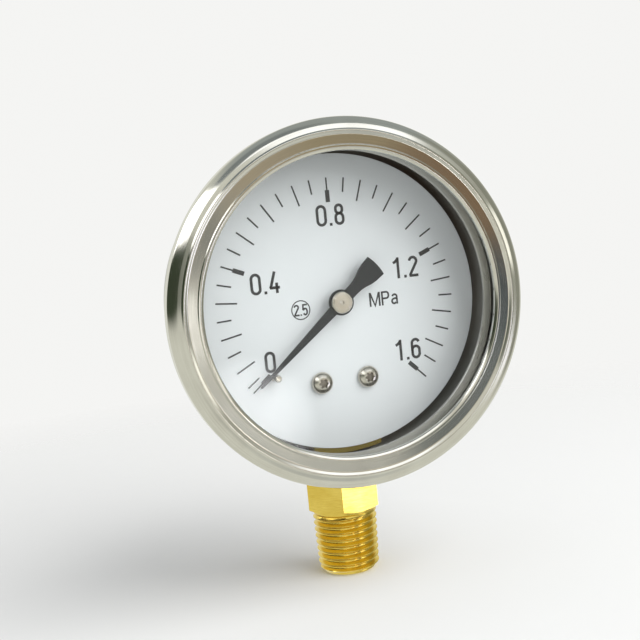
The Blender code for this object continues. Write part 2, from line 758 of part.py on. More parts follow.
def make_link():
    tail, tip = link_ends()
    length = math.dist(tail, tip)
    direction = math.atan2(tip[1] - tail[1], tip[0] - tail[0])
    half = 1.1
    outline = arc(half, 90.0, 270.0, 8) + arc(half, -90.0, 90.0, 8, (length, 0.0))
    holes = [circle(LINK_PIN_RADIUS + RUNNING_GAP, COARSE)]
    holes.append(circle(LINK_PIN_RADIUS + OPEN_PIVOT_GAP, COARSE, (length, 0.0)))
    link = flat("link", [outline] + holes, *LINK_LEVEL, LINK_AXIS)
    link.rotation_euler = (0.0, 0.0, direction)
    return finish_part(link, "brass")


def make_sector_link_pin():
    """Rivet through the sector's tail, with its head behind the link."""
    head = LINK_LEVEL[0] - SEAT_GAP
    radius = LINK_PIN_RADIUS
    profile = [(0.0, SECTOR_LEVEL[1] + 0.3), (radius, SECTOR_LEVEL[1] + 0.3), (radius, head)]
    profile += [(1.0, head), (1.0, head - 0.35), (0.0, head - 0.35)]
    pin = turned("sector_link_pin", profile, COARSE, SECTOR_AXIS)
    x, y = tail_pin()
    pin.location = (x * MM, y * MM, 0.0)
    return finish_part(pin, "nickel")


def make_tip_link_pin():
    """Pin in the tip's lug, with its head in front of the link."""
    head = LINK_LEVEL[1] + SEAT_GAP
    radius = LINK_PIN_RADIUS
    profile = [(0.0, head + 0.45), (0.8, head + 0.45), (1.05, head + 0.25), (1.05, head)]
    profile += [(radius, head), (radius, 1.2), (0.0, 1.2)]
    pin = turned("tip_link_pin", profile, COARSE, TIP_AXIS)
    x, y = polar(*TIP_PIN)
    hinge_x, hinge_y = tip_hinge()
    pin.location = ((x - hinge_x) * MM, (y - hinge_y) * MM, 0.0)
    return finish_part(pin, "nickel")


def swept_oval(name, half_thickness, half_width, start, end, steps, parent):
    """A solid arc about the dial axis with a flattened section."""
    editable = bmesh.new()
    section = []
    count = 10
    for index in range(count):
        angle = 2.0 * math.pi * index / count
        across = math.copysign(abs(math.cos(angle)) ** 0.7, math.cos(angle)) * half_thickness
        along = math.copysign(abs(math.sin(angle)) ** 0.8, math.sin(angle)) * half_width
        point = Vector(((TUBE_RADIUS + across) * MM, 0.0, (TUBE_LEVEL + along) * MM))
        section.append(editable.verts.new(point))
    face = editable.faces.new(section)
    bmesh.ops.rotate(editable, cent=(0.0, 0.0, 0.0), verts=editable.verts,
                     matrix=Matrix.Rotation(math.radians(start), 3, "Z"))
    bmesh.ops.spin(editable, geom=[face], cent=(0.0, 0.0, 0.0), axis=(0.0, 0.0, 1.0),
                   angle=math.radians(end - start), steps=steps, use_duplicate=False)
    bmesh.ops.recalc_face_normals(editable, faces=editable.faces)
    mesh = bpy.data.meshes.new(name)
    editable.to_mesh(mesh)
    editable.free()
    return place(name, mesh, parent)


def make_bourdon_tube():
    """Flattened hollow tube, open at both ends; the socket and the tip close it."""
    tube = swept_oval("bourdon_tube", TUBE_HALF_THICKNESS, TUBE_HALF_WIDTH, TUBE_ROOT, TUBE_TIP,
                      TUBE_STEPS, DIAL_FRAME)
    editable = bmesh.new()
    editable.from_mesh(tube.data)
    ends = [face for face in editable.faces if len(face.verts) > 4]
    bmesh.ops.delete(editable, geom=ends, context="FACES_ONLY")
    editable.to_mesh(tube.data)
    editable.free()
    wall = tube.modifiers.new("Wall", "SOLIDIFY")
    wall.thickness = TUBE_WALL * MM
    wall.offset = -1.0
    wall.use_even_offset = True
    return finish_part(smooth(tube), "bronze")


def tube_seat(name):
    """The space that the tube and its brazing take in the socket and in the tip."""
    gap = 0.12
    return swept_oval(name, TUBE_HALF_THICKNESS + gap, TUBE_HALF_WIDTH + gap, TUBE_ROOT + 1.5,
                      TUBE_TIP - 0.6, TUBE_STEPS, DIAL_FRAME)


def make_tube_tip():
    """Brass end piece brazed on the tube, with a lug that reaches the link."""
    angle = TUBE_TIP - 2.0
    radial = 2.5
    tangential = 1.9
    low = TUBE_LEVEL - TUBE_HALF_WIDTH - 0.5
    high = TUBE_LEVEL + TUBE_HALF_WIDTH + 0.5
    tip = block("tube_tip", (TUBE_RADIUS - radial, -tangential, low),
                (TUBE_RADIUS + radial - 0.2, tangential, high), TIP_AXIS)
    tip.matrix_world = DIAL_FRAME.matrix_world @ Matrix.Rotation(math.radians(angle), 4, "Z")
    edge = tip.modifiers.new("Edge", "BEVEL")
    edge.width = 0.35 * MM
    edge.segments = 1
    x, y = polar(*TIP_PIN)
    lug = rod("tip_lug", 1.3, -2.0, LINK_LEVEL[0] - SEAT_GAP, DIAL_FRAME, (x, y), 18)
    combine(tip, lug, "UNION")
    combine(tip, tube_seat("tube_seat_in_tip"), "DIFFERENCE")
    hole = rod("tip_pin_hole", LINK_PIN_RADIUS + FIXED_GAP, 1.0, 4.0, DIAL_FRAME, (x, y), 14)
    combine(tip, hole, "DIFFERENCE")
    return finish_part(tip, "brass")


# --- Socket -------------------------------------------------------------------------------
def thread_radius(height):
    """Crest radius at a height on the tapered shank."""
    return THREAD_RADIUS - (THREAD_LENGTH - height) * THREAD_TAPER


def thread_rod(name):
    """A helical vee thread as a sheared grid of rings, longer than the shank at both ends."""
    editable = bmesh.new()
    turns = int(THREAD_LENGTH / THREAD_PITCH) + 4
    columns = []
    for column in range(THREAD_SEGMENTS):
        share = column / THREAD_SEGMENTS
        angle = -2.0 * math.pi * share
        line = []
        for level in range(2 * turns + 1):
            height = (level / 2.0 - share - 1.0) * THREAD_PITCH
            radius = thread_radius(height)
            if level % 2:
                radius -= THREAD_DEPTH
            line.append(editable.verts.new((radius * math.cos(angle) * MM,
                                            radius * math.sin(angle) * MM, height * MM)))
        columns.append(line)
    for column in range(THREAD_SEGMENTS - 1):
        here = columns[column]
        there = columns[column + 1]
        for level in range(2 * turns):
            editable.faces.new((here[level], here[level + 1], there[level + 1], there[level]))
    first = columns[0]
    final = columns[-1]
    for level in range(2 * turns - 2):
        editable.faces.new((final[level + 2], final[level + 3], first[level + 1], first[level]))
    close_thread_end(editable, columns)
    bmesh.ops.recalc_face_normals(editable, faces=editable.faces)
    mesh = bpy.data.meshes.new(name)
    editable.to_mesh(mesh)
    editable.free()
    return place(name, mesh, None)


def close_thread_end(editable, columns):
    """Fans each open end of the helical surface to a point on the axis."""
    boundary = [edge for edge in editable.edges if len(edge.link_faces) == 1]
    middle = sum(vert.co.z for vert in columns[0]) / len(columns[0])
    for side in (-1.0, 1.0):
        edges = [edge for edge in boundary if (edge.verts[0].co.z - middle) * side > 0.0]
        height = sum(edge.verts[0].co.z for edge in edges) / len(edges)
        apex = editable.verts.new((0.0, 0.0, height))
        for edge in edges:
            editable.faces.new((edge.verts[0], edge.verts[1], apex))


def shank_envelope():
    """Keeps the part of the thread that lies on the shank, with a chamfered end."""
    end_radius = thread_radius(0.0) - 1.0
    outside = THREAD_RADIUS + 1.4
    chamfer_top = outside - end_radius
    top = THREAD_LENGTH + 0.3
    profile = [(0.0, top), (outside, top), (outside, chamfer_top)]
    profile += [(end_radius, 0.0), (0.0, 0.0)]
    return turned("shank_envelope", profile, 24, None)


def make_hexagon(name):
    corner = HEX_ACROSS_FLATS / 2.0 / math.cos(math.pi / 6.0)
    outline = [polar(corner, -90.0 - HEX_TURN + 60.0 * index) for index in range(6)]
    hexagon = to_mesh(flat(name, [outline], THREAD_LENGTH, HEX_TOP, None))
    flat_radius = HEX_ACROSS_FLATS / 2.0
    rise = (corner + 0.2 - flat_radius) * math.tan(math.radians(30.0))
    profile = [(0.0, HEX_TOP), (flat_radius, HEX_TOP), (corner + 0.2, HEX_TOP - rise)]
    profile += [(corner + 0.2, THREAD_LENGTH + rise), (flat_radius, THREAD_LENGTH)]
    profile.append((0.0, THREAD_LENGTH))
    return combine(hexagon, turned("hexagon_chamfer", profile, 36, None), "INTERSECT")


def foot_limit(rear_level):
    """The space inside the case that the foot may fill, with a bevel along the rear corner."""
    bevel = 1.5
    profile = [(0.0, 14.0), (FOOT_RADIUS, 14.0), (FOOT_RADIUS, rear_level + bevel)]
    profile += [(FOOT_RADIUS - bevel, rear_level), (0.0, rear_level)]
    return turned("foot_limit", profile, 2 * FINE, DIAL_FRAME)


def make_socket():
    """One brass piece: threaded shank, hexagon, neck through the case and inner block."""
    socket = thread_rod("socket")
    combine(socket, shank_envelope(), "INTERSECT")
    combine(socket, make_hexagon("socket_hexagon"), "UNION")
    combine(socket, rod("socket_neck", NECK_RADIUS, HEX_TOP - 0.5, BLOCK_STEP - 0.5, None,
                        segments=28), "UNION")
    width = BLOCK_HALF_WIDTH
    rear = -CASE_BACK - CASE_WALL - SEAT_GAP
    foot = block("socket_foot", (-width, -width, CENTRE_HEIGHT - FOOT_RADIUS - 1.0),
                 (width, rear, BLOCK_STEP), None)
    combine(foot, foot_limit(-rear), "INTERSECT")
    combine(socket, foot, "UNION")
    combine(socket, block("socket_post", (-width, -BLOCK_FACE, BLOCK_STEP - 0.5),
                          (width, rear, BLOCK_TOP), None), "UNION")
    combine(socket, rod("socket_port", PORT_RADIUS, -1.0, 27.0, None, segments=MEDIUM), "DIFFERENCE")
    combine(socket, rod("socket_riser", 1.2, 26.0, CENTRE_HEIGHT - 19.2, None, segments=COARSE),
            "DIFFERENCE")
    combine(socket, tube_seat("tube_seat_in_socket"), "DIFFERENCE")
    port = rod("socket_cross_port", 0.8, -0.2, 3.4, None, segments=COARSE)
    port.location = (-1.6 * MM, 0.9 * MM, (CENTRE_HEIGHT - 20.3) * MM)
    port.rotation_euler = (0.0, math.radians(90.0), 0.0)
    combine(socket, port, "DIFFERENCE")
    for label, side in (("left", -1.0), ("right", 1.0)):
        centre = (side * MOVEMENT_SCREW[0], MOVEMENT_SCREW[1])
        hole = rod("socket_front_hole_" + label, MOVEMENT_SCREW_SHANK + FIXED_GAP, -2.6, 2.0,
                   DIAL_FRAME, centre, COARSE)
        combine(socket, hole, "DIFFERENCE")
    for index, height in enumerate(CASE_SCREW_HEIGHTS):
        hole = rod("socket_back_hole_%d" % (index + 1), CASE_SCREW_SHANK + FIXED_GAP,
                   -rear - 1.0, -4.6, DIAL_FRAME, (0.0, height), COARSE)
        combine(socket, hole, "DIFFERENCE")
    return finish_part(socket, "brass")


def make_restrictor_screw():
    """Slotted plug in the port with a fine hole that damps pressure pulses."""
    low = 5.0
    high = 9.0
    radius = PORT_RADIUS - 0.08
    profile = [(0.45, high), (radius, high), (radius, low), (0.45, low)]
    plug = turned("restrictor_screw", profile, MEDIUM, None, closed=True)
    slot = block("restrictor_slot", (-4.0, -0.4, low - 1.0), (4.0, 0.4, low + 0.9), None)
    combine(plug, slot, "DIFFERENCE")
    return finish_part(plug, "nickel")


def make_case_screws():
    """Screws that hold the case's back to the socket's block."""
    for label, height in zip(("upper", "lower"), CASE_SCREW_HEIGHTS):
        screw = pan_head_screw("case_screw_" + label, (2.3, 1.3), (CASE_SCREW_SHANK, 4.4),
                               -CASE_BACK + FIXED_GAP, DIAL_FRAME, (0.0, height))
        screw.rotation_euler = (0.0, math.pi, 0.0)


# --- Assembly -----------------------------------------------------------------------------
def tip_hinge():
    """The tip of a circular tube that uncurls turns about the centroid of its arc."""
    half = math.radians(TUBE_FREE - TUBE_TIP) / 2.0
    middle = (TUBE_FREE + TUBE_TIP) / 2.0
    return polar(TUBE_RADIUS * math.sin(half) / half, middle)


clear_scene()
PARTS = new_collection("pressure_gauge")
CUTTERS = new_collection("cutters")
DIAL_FRAME = new_empty("dial_frame", (0.0, 0.0, CENTRE_HEIGHT), (math.pi / 2.0, 0.0, 0.0))
POINTER_AXIS = new_empty("pointer_axis", (0.0, 0.0, 0.0), parent=DIAL_FRAME)
SECTOR_AXIS = new_empty("sector_axis", (0.0, SECTOR_AXIS_Y, 0.0), parent=DIAL_FRAME)
TAIL_X, TAIL_Y = link_ends()[0]
LINK_AXIS = new_empty("link_axis", (TAIL_X, TAIL_Y, 0.0), parent=DIAL_FRAME)
HINGE_X, HINGE_Y = tip_hinge()
TIP_AXIS = new_empty("tip_axis", (HINGE_X, HINGE_Y, 0.0), parent=DIAL_FRAME)
bpy.context.view_layer.update()

make_case()
make_bezel()
make_window()
make_window_gasket()
make_relief_plug()
make_socket_seal()
make_dial()
make_zero_stop_pin()
make_pointer()
make_pointer_hub()
make_dial_screws()
make_pinion_arbor()
make_sector_gear()
make_sector_arbor()
make_front_plate()
make_back_plate()
make_pillars()
make_movement_screws()
make_hairspring()
make_hairspring_collet()
make_hairspring_stud()
make_link()
make_sector_link_pin()
make_tip_link_pin()
make_bourdon_tube()
make_tube_tip()
make_socket()
make_restrictor_screw()
make_case_screws()
bpy.context.view_layer.update()
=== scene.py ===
"""Looks of the pressure gauge: polished bezel, glass, printed dial, pointer and brass shank.

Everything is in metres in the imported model's frame: the dial faces -Y, +Z is up, and the origin
is at the end of the shank. The dial's own frame, used by at(), has its origin on the dial's axis
and counts in millimetres: right, up, and level towards the reader.
"""

import json
import math

import bmesh
import bpy
from mathutils import Matrix, Vector


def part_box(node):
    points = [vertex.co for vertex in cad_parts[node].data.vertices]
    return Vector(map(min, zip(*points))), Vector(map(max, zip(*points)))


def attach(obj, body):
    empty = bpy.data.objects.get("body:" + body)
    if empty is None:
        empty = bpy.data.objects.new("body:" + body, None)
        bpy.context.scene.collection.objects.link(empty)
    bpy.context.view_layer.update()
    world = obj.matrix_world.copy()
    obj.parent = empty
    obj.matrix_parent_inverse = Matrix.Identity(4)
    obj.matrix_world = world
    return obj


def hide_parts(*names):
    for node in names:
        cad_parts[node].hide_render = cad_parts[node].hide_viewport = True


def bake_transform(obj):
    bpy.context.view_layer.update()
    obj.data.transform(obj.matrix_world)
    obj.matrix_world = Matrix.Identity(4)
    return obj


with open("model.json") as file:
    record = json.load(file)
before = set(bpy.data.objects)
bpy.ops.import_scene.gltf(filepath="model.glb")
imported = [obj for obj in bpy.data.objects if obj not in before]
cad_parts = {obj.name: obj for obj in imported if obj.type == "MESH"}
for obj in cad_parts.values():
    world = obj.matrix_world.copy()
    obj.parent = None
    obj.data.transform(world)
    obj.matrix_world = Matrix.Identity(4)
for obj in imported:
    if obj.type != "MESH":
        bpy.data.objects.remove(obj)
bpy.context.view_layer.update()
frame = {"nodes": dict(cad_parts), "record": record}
NODES = frame["nodes"]
MM = 0.001


# --- Driving dimensions, read from the frame ----------------------------------------------
def box_mm(node):
    """A CAD node's lowest and highest corners, in millimetres."""
    low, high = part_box(node)
    return low / MM, high / MM


def radius_of(node):
    low, high = box_mm(node)
    return (high.x - low.x) / 2.0


def front_of(node):
    """The level of a node's side towards the reader."""
    return -box_mm(node)[0].y


def back_of(node):
    return -box_mm(node)[1].y


def middle_of(node):
    """A node's middle across the dial: right and up from the dial's axis."""
    low, high = box_mm(node)
    return ((low.x + high.x) / 2.0, (low.z + high.z) / 2.0 - CENTRE)


CENTRE = (box_mm("bezel")[0].z + box_mm("bezel")[1].z) / 2.0
BEZEL_RADIUS = radius_of("bezel")
BEZEL_FRONT = front_of("bezel")
BEZEL_BACK = back_of("bezel")
CASE_FRONT = front_of("case")
CASE_BACK = back_of("case")
CASE_FLANGE = radius_of("case")
CASE_LIP = 28.7
CASE_SEAT = 30.1                # where the gasket starts
CASE_RADIUS = 31.0
CASE_WALL = 0.7
WINDOW_RADIUS = radius_of("window")
DIAL_RADIUS = radius_of("dial")
DIAL_FRONT = front_of("dial")
DIAL_BACK = back_of("dial")
POINTER_FRONT = front_of("pointer")
POINTER_BACK = back_of("pointer")

BEZEL_OPENING = 28.2
RECESS_RADIUS = 1.0             # six-lobe recess of the dial's screws
SCALE_RADIUS = 24.0             # outer ends of the scale's marks
SCALE_START = 225.0             # even marks start here, counter-clockwise from the right
SCALE_SWEEP = 270.0
SCALE_STEPS = 32
ZERO_MARK = 220.0               # zero stands closer to the first step, where the pin stops
POINTER_REST = 219.6
POINTER_LENGTH = 22.6
POINTER_TAIL = 10.2
INK = 0.03                      # thickness of the dial's print
ARBOR_BORE = 0.3                # hole in the hub's middle

THREAD_LENGTH = 12.9
THREAD_RADIUS = 13.157 / 2.0
THREAD_PITCH = 25.4 / 19.0
THREAD_DEPTH = 0.64 * THREAD_PITCH
THREAD_TAPER = 1.0 / 32.0
HEX_FLAT = 7.0                  # half the width across flats
HEX_TOP = 21.6
HEX_TURN = 17.8
NECK_RADIUS = 6.7
SEAL_RADIUS = 8.25
BLOCK_HALF_WIDTH = 7.0
BLOCK_FACE = 1.0
FOOT_RADIUS = 30.0
BLOCK_STEP = CENTRE - 25.8
BLOCK_TOP = box_mm("socket")[1].z
BLOCK_REAR = box_mm("socket")[1].y
PORT_RADIUS = 2.5

TUBE_RADIUS = 20.5              # Bourdon tube, bent about the dial's axis
TUBE_LEVEL = -4.0
TUBE_HALF_WIDTH = 3.8
TUBE_HALF_THICKNESS = 1.7
TUBE_WALL = 0.35
TUBE_ROOT = 262.0
TUBE_TIP = -26.0

COARSE, MEDIUM, FINE, FINEST = 48, 96, 192, 256     # steps round a turned piece
SHARP_ANGLE = math.radians(32.0)                    # edges sharper than this aren't smoothed


# --- Mesh helpers -------------------------------------------------------------------------
def at(x, y, level):
    """A place in the dial's frame, in millimetres, as a world position in metres."""
    return Vector((x, -level, CENTRE + y)) * MM


def polar(radius, degrees):
    angle = math.radians(degrees)
    return (radius * math.cos(angle), radius * math.sin(angle))


def arc(radius, start, end, count):
    """Points on an arc from start to end, in degrees, both ends included."""
    return [polar(radius, start + (end - start) * index / count) for index in range(count + 1)]


def circle(radius, steps, turn=0.0):
    return [polar(radius, turn + 360.0 * index / steps) for index in range(steps)]


def rounded(corners, steps):
    """Turns a closed outline of (x, y, radius) corners into points, each corner an arc."""
    points = []
    for index, (x, y, radius) in enumerate(corners):
        here = Vector((x, y))
        if radius <= 0.0:
            points.append((x, y))
            continue
        before = Vector(corners[index - 1][:2]) - here
        after = Vector(corners[(index + 1) % len(corners)][:2]) - here
        half = before.angle(after) / 2.0
        reach = min(radius / math.tan(half), 0.49 * min(before.length, after.length))
        bisector = (before.normalized() + after.normalized()).normalized()
        middle = here + bisector * (reach / math.cos(half))
        first = here + before.normalized() * reach - middle
        final = here + after.normalized() * reach - middle
        turn = first.angle(final)
        for step in range(steps + 1):
            share = step / steps
            spoke = first * math.sin((1.0 - share) * turn) + final * math.sin(share * turn)
            points.append(tuple(middle + spoke / math.sin(turn)))
    return points


def new_object(name, data):
    made = bpy.data.objects.new(name, data)
    bpy.context.scene.collection.objects.link(made)
    return made


def finish_mesh(name, editable, sharp=SHARP_ANGLE):
    """Welds, orients and shades a mesh, and links it as an object."""
    bmesh.ops.remove_doubles(editable, verts=editable.verts, dist=0.0000005)
    bmesh.ops.dissolve_degenerate(editable, edges=editable.edges, dist=0.0000002)
    bmesh.ops.recalc_face_normals(editable, faces=editable.faces)
    mesh = bpy.data.meshes.new(name)
    editable.to_mesh(mesh)
    editable.free()
    mesh.shade_smooth()
    mesh.set_sharp_from_angle(angle=sharp)
    return new_object(name, mesh)


def skin(editable, rings, closed):
    """Joins rings of vertices with faces; closed joins the last ring to the first."""
    count = len(rings[0])
    pairs = list(zip(rings, rings[1:]))
    if closed:
        pairs.append((rings[-1], rings[0]))
    for ring, following in pairs:
        for index in range(count):
            after = (index + 1) % count
            editable.faces.new((ring[index], ring[after], following[after], following[index]))


def loft(name, rows, closed=True):
    """A surface through rows of places, each row a closed ring."""
    editable = bmesh.new()
    rings = [[editable.verts.new(place) for place in row] for row in rows]
    skin(editable, rings, closed)
    return finish_mesh(name, editable)


def lathe(name, profile, steps=FINE, centre=(0.0, 0.0)):
    """Turns a closed profile of (radius, level) points about an axis parallel to the dial's."""
    rows = []
    for radius, level in profile:
        points = circle(radius, steps)
        rows.append([at(centre[0] + x, centre[1] + y, level) for x, y in points])
    return loft(name, rows)


def upright(name, profile, steps=MEDIUM, turn=0.0):
    """Turns a closed profile of (radius, height) points about the shank's axis."""
    rows = []
    for radius, height in profile:
        rows.append([Vector((x, y, height)) * MM for x, y in circle(radius, steps, turn)])
    return loft(name, rows)


def plate(name, outline, bottom, top, bevel, direction):
    """A flat piece with rounded edges from one outline, turned about the dial's axis."""
    editable = bmesh.new()
    face = []
    for x, y in outline:
        turned = Matrix.Rotation(math.radians(direction), 2) @ Vector((x, y))
        face.append(editable.verts.new(at(turned.x, turned.y, bottom)))
    made = bmesh.ops.extrude_face_region(editable, geom=[editable.faces.new(face)])
    raised = [item for item in made["geom"] if isinstance(item, bmesh.types.BMVert)]
    bmesh.ops.translate(editable, verts=raised, vec=(0.0, -(top - bottom) * MM, 0.0))
    piece = finish_mesh(name, editable)
    edge = piece.modifiers.new("Edge", "BEVEL")
    edge.width = bevel * MM
    edge.segments = 3
    edge.limit_method = "ANGLE"
    edge.angle_limit = math.radians(50.0)
    return piece


def brick(name, low, high, bevel=0.0):
    """A box between two world corners in millimetres."""
    editable = bmesh.new()
    bmesh.ops.create_cube(editable, size=1.0)
    low = Vector(low) * MM
    high = Vector(high) * MM
    bmesh.ops.scale(editable, vec=high - low, verts=editable.verts)
    bmesh.ops.translate(editable, vec=(low + high) / 2.0, verts=editable.verts)
    if bevel:
        bmesh.ops.bevel(editable, geom=list(editable.edges), offset=bevel * MM, segments=3,
                        profile=0.5, affect="EDGES")
    return finish_mesh(name, editable)


def combine(piece, tool, operation="DIFFERENCE"):
    """Applies an exact Boolean at once and removes the tool."""
    modifier = piece.modifiers.new("Cut", "BOOLEAN")
    modifier.operation = operation
    modifier.solver = "EXACT"
    modifier.object = tool
    bpy.context.view_layer.update()
    graph = bpy.context.evaluated_depsgraph_get()
    mesh = bpy.data.meshes.new_from_object(piece.evaluated_get(graph))
    piece.modifiers.clear()
    piece.data = mesh
    mesh.shade_smooth()
    mesh.set_sharp_from_angle(angle=SHARP_ANGLE)
    bpy.data.objects.remove(tool, do_unlink=True)
    return piece


def settle(piece, slot, material, *replaced, body="gauge_body"):
    """Gives a piece its finish and its body, and hides the CAD nodes that it stands for."""
    flat = piece.modifiers.new("Flat faces stay flat", "WEIGHTED_NORMAL")
    flat.keep_sharp = True
    piece.data.materials.clear()
    piece.data.materials.append(material)
    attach(piece, body)
    if replaced:
        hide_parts(*replaced)
    return piece


def paint_shade_on(piece, material, inside):
    """Paints shade on the faces whose middles pass a test of right, up and level, by giving them a
    second, darker material.
    """
    piece.data.materials.append(material)
    for face in piece.data.polygons:
        place = face.center / MM
        if inside(place.x, place.z - CENTRE, -place.y):
            face.material_index = 1


# --- Material helpers ---------------------------------------------------------------------
CLOUD_SCALE = 160.0             # handling marks on metal, about 6 mm apart
DRIFT_SCALE = 60.0              # slow colour drift of paint, about 17 mm apart


def new_material(name):
    material = bpy.data.materials.new(name)
    material.use_nodes = True
    return material, material.node_tree, material.node_tree.nodes["Principled BSDF"]


def add(tree, kind, **values):
    """Adds a node and sets its properties and inputs by name."""
    node = tree.nodes.new(kind)
    for name, value in values.items():
        if hasattr(node, name):
            setattr(node, name, value)
        else:
            node.inputs[name].default_value = value
    return node


def calculate(tree, operation, first, second=0.0):
    """A Math node; each operand is a socket or a number."""
    node = tree.nodes.new("ShaderNodeMath")
    node.operation = operation
    for socket, value in zip(node.inputs, (first, second)):
        if isinstance(value, bpy.types.NodeSocket):
            tree.links.new(value, socket)
        else:
            socket.default_value = value
    return node.outputs[0]


def remap(tree, value, low, high, to_low, to_high):
    node = add(tree, "ShaderNodeMapRange")
    for name, number in zip(("From Min", "From Max", "To Min", "To Max"),
                            (low, high, to_low, to_high)):
        node.inputs[name].default_value = number
    tree.links.new(value, node.inputs["Value"])
    return node.outputs["Result"]


def noise(tree, vector, scale, detail, roughness):
    node = add(tree, "ShaderNodeTexNoise", Scale=scale, Detail=detail, Roughness=roughness)
    tree.links.new(vector, node.inputs["Vector"])
    return node.outputs["Fac"]


def object_place(tree):
    return add(tree, "ShaderNodeTexCoord").outputs["Object"]


def turning_marks(tree, fineness, spread):
    """Coordinates whose noise runs in rings about the dial's axis, as a lathe leaves them."""
    parts = add(tree, "ShaderNodeSeparateXYZ")
    tree.links.new(object_place(tree), parts.inputs[0])
    across = parts.outputs["X"]
    up = calculate(tree, "SUBTRACT", parts.outputs["Z"], CENTRE * MM)
    squares = calculate(tree, "ADD", calculate(tree, "MULTIPLY", across, across),
                        calculate(tree, "MULTIPLY", up, up))
    radius = calculate(tree, "MAXIMUM", calculate(tree, "SQRT", squares), 0.00001)
    joined = add(tree, "ShaderNodeCombineXYZ")
    for part, axis in ((across, "X"), (up, "Y")):
        share = calculate(tree, "DIVIDE", part, radius)
        tree.links.new(calculate(tree, "MULTIPLY", share, spread), joined.inputs[axis])
    depth = calculate(tree, "ADD", radius, calculate(tree, "MULTIPLY", parts.outputs["Y"], 1.3))
    tree.links.new(calculate(tree, "MULTIPLY", depth, fineness), joined.inputs["Z"])
    return joined.outputs[0]


def stretched(tree, scale):
    """Object coordinates scaled per axis, for noise that runs in straight lines."""
    mapping = add(tree, "ShaderNodeMapping", Scale=scale)
    tree.links.new(object_place(tree), mapping.inputs["Vector"])
    return mapping.outputs[0]


def tint(tree, shader, factor, first, second):
    """Base colour that varies between two colours."""
    mix = add(tree, "ShaderNodeMix", data_type="RGBA", A=(*first, 1.0), B=(*second, 1.0))
    tree.links.new(factor, mix.inputs["Factor"])
    tree.links.new(mix.outputs["Result"], shader.inputs["Base Color"])


def mix_shaders(tree, share, first, second):
    """Blends two shader nodes; the share is that of the second."""
    mix = add(tree, "ShaderNodeMixShader")
    for output, socket in zip((share, first.outputs[0], second.outputs[0]), mix.inputs):
        tree.links.new(output, socket)
    return mix.outputs[0]


def raise_bump(tree, shader, height, distance):
    bump = add(tree, "ShaderNodeBump", Strength=1.0, Distance=distance)
    tree.links.new(height, bump.inputs["Height"])
    tree.links.new(bump.outputs["Normal"], shader.inputs["Normal"])


def metal(name, light, dark, roughness, marks, bump, wear):
    """Metal whose colour and roughness follow its tool marks, with a soft cloud of handling."""
    material, tree, shader = new_material(name)
    shader.inputs["Metallic"].default_value = 1.0
    lines = noise(tree, marks(tree), 1.0, 4.0, 0.6)
    clouds = noise(tree, object_place(tree), CLOUD_SCALE, 3.0, 0.5)
    both = calculate(tree, "ADD", calculate(tree, "MULTIPLY", lines, 1.0 - wear),
                     calculate(tree, "MULTIPLY", clouds, wear))
    tint(tree, shader, remap(tree, both, 0.35, 0.65, 0.0, 1.0), light, dark)
    tree.links.new(remap(tree, both, 0.3, 0.7, roughness[0], roughness[1]),
                   shader.inputs["Roughness"])
    raise_bump(tree, shader, lines, bump)
    return material


def painted(name, light, dark, roughness, grain, bump):
    """Enamel or paint with a faint orange peel and slow colour drift."""
    material, tree, shader = new_material(name)
    drift = noise(tree, object_place(tree), DRIFT_SCALE, 3.0, 0.5)
    tint(tree, shader, remap(tree, drift, 0.35, 0.65, 0.0, 1.0), light, dark)
    peel = noise(tree, object_place(tree), grain, 3.0, 0.6)
    tree.links.new(remap(tree, peel, 0.3, 0.7, roughness[0], roughness[1]),
                   shader.inputs["Roughness"])
    raise_bump(tree, shader, peel, bump)
    return material


# --- Materials ----------------------------------------------------------------------------
def window_glass():
    """Clear pane: light passes straight through, and the face it enters mirrors for both."""
    material = bpy.data.materials.new("window_float_glass")
    material.use_nodes = True
    tree = material.node_tree
    tree.nodes.clear()
    clear = add(tree, "ShaderNodeBsdfTransparent", Color=(0.992, 0.997, 0.996, 1.0))
    gloss = add(tree, "ShaderNodeBsdfGlossy", Color=(1.0, 1.0, 1.0, 1.0))
    smudge = noise(tree, object_place(tree), 90.0, 5.0, 0.6)
    tree.links.new(remap(tree, smudge, 0.4, 0.75, 0.02, 0.12), gloss.inputs["Roughness"])
    fresnel = add(tree, "ShaderNodeFresnel", IOR=1.5)
    entering = calculate(tree, "SUBTRACT", 1.0,
                         add(tree, "ShaderNodeNewGeometry").outputs["Backfacing"])
    share = calculate(tree, "MULTIPLY", fresnel.outputs[0], entering)
    output = add(tree, "ShaderNodeOutputMaterial")
    tree.links.new(mix_shaders(tree, share, clear, gloss), output.inputs["Surface"])
    return material


def rings_of(fineness, spread):
    return lambda tree: turning_marks(tree, fineness, spread)


def lines_of(*scale):
    return lambda tree: stretched(tree, scale)


GLASS = window_glass()
STEEL = metal("bezel_polished_steel", (0.71, 0.695, 0.63), (0.62, 0.60, 0.54), (0.07, 0.17),
              rings_of(2600.0, 2.0), 0.0000008, 0.5)
CASE_STEEL = metal("case_drawn_steel", (0.60, 0.59, 0.56), (0.50, 0.49, 0.47), (0.24, 0.38),
                   rings_of(5000.0, 3.0), 0.000002, 0.4)
NICKEL = metal("nickel_plated_steel", (0.72, 0.68, 0.61), (0.62, 0.58, 0.51), (0.2, 0.32),
               lines_of(9000.0, 9000.0, 9000.0), 0.0000006, 0.3)
# Painted shade: a darker, rougher nickel that stands in for the shade inside the screws' recesses
# and slots and the hub's centre hole.
PAINTED_RECESS_SHADE = metal("nickel_painted_recess_shade", (0.36, 0.33, 0.29), (0.18, 0.165, 0.14), (0.3, 0.45),
               lines_of(6000.0, 6000.0, 6000.0), 0.000001, 0.4)
BRASS = metal("machined_brass", (0.91, 0.70, 0.17), (0.78, 0.55, 0.09), (0.16, 0.30),
              lines_of(500.0, 500.0, 9000.0), 0.000003, 0.45)
BRONZE = metal("phosphor_bronze", (0.66, 0.42, 0.20), (0.52, 0.30, 0.13), (0.26, 0.4),
               rings_of(4000.0, 4.0), 0.000002, 0.5)
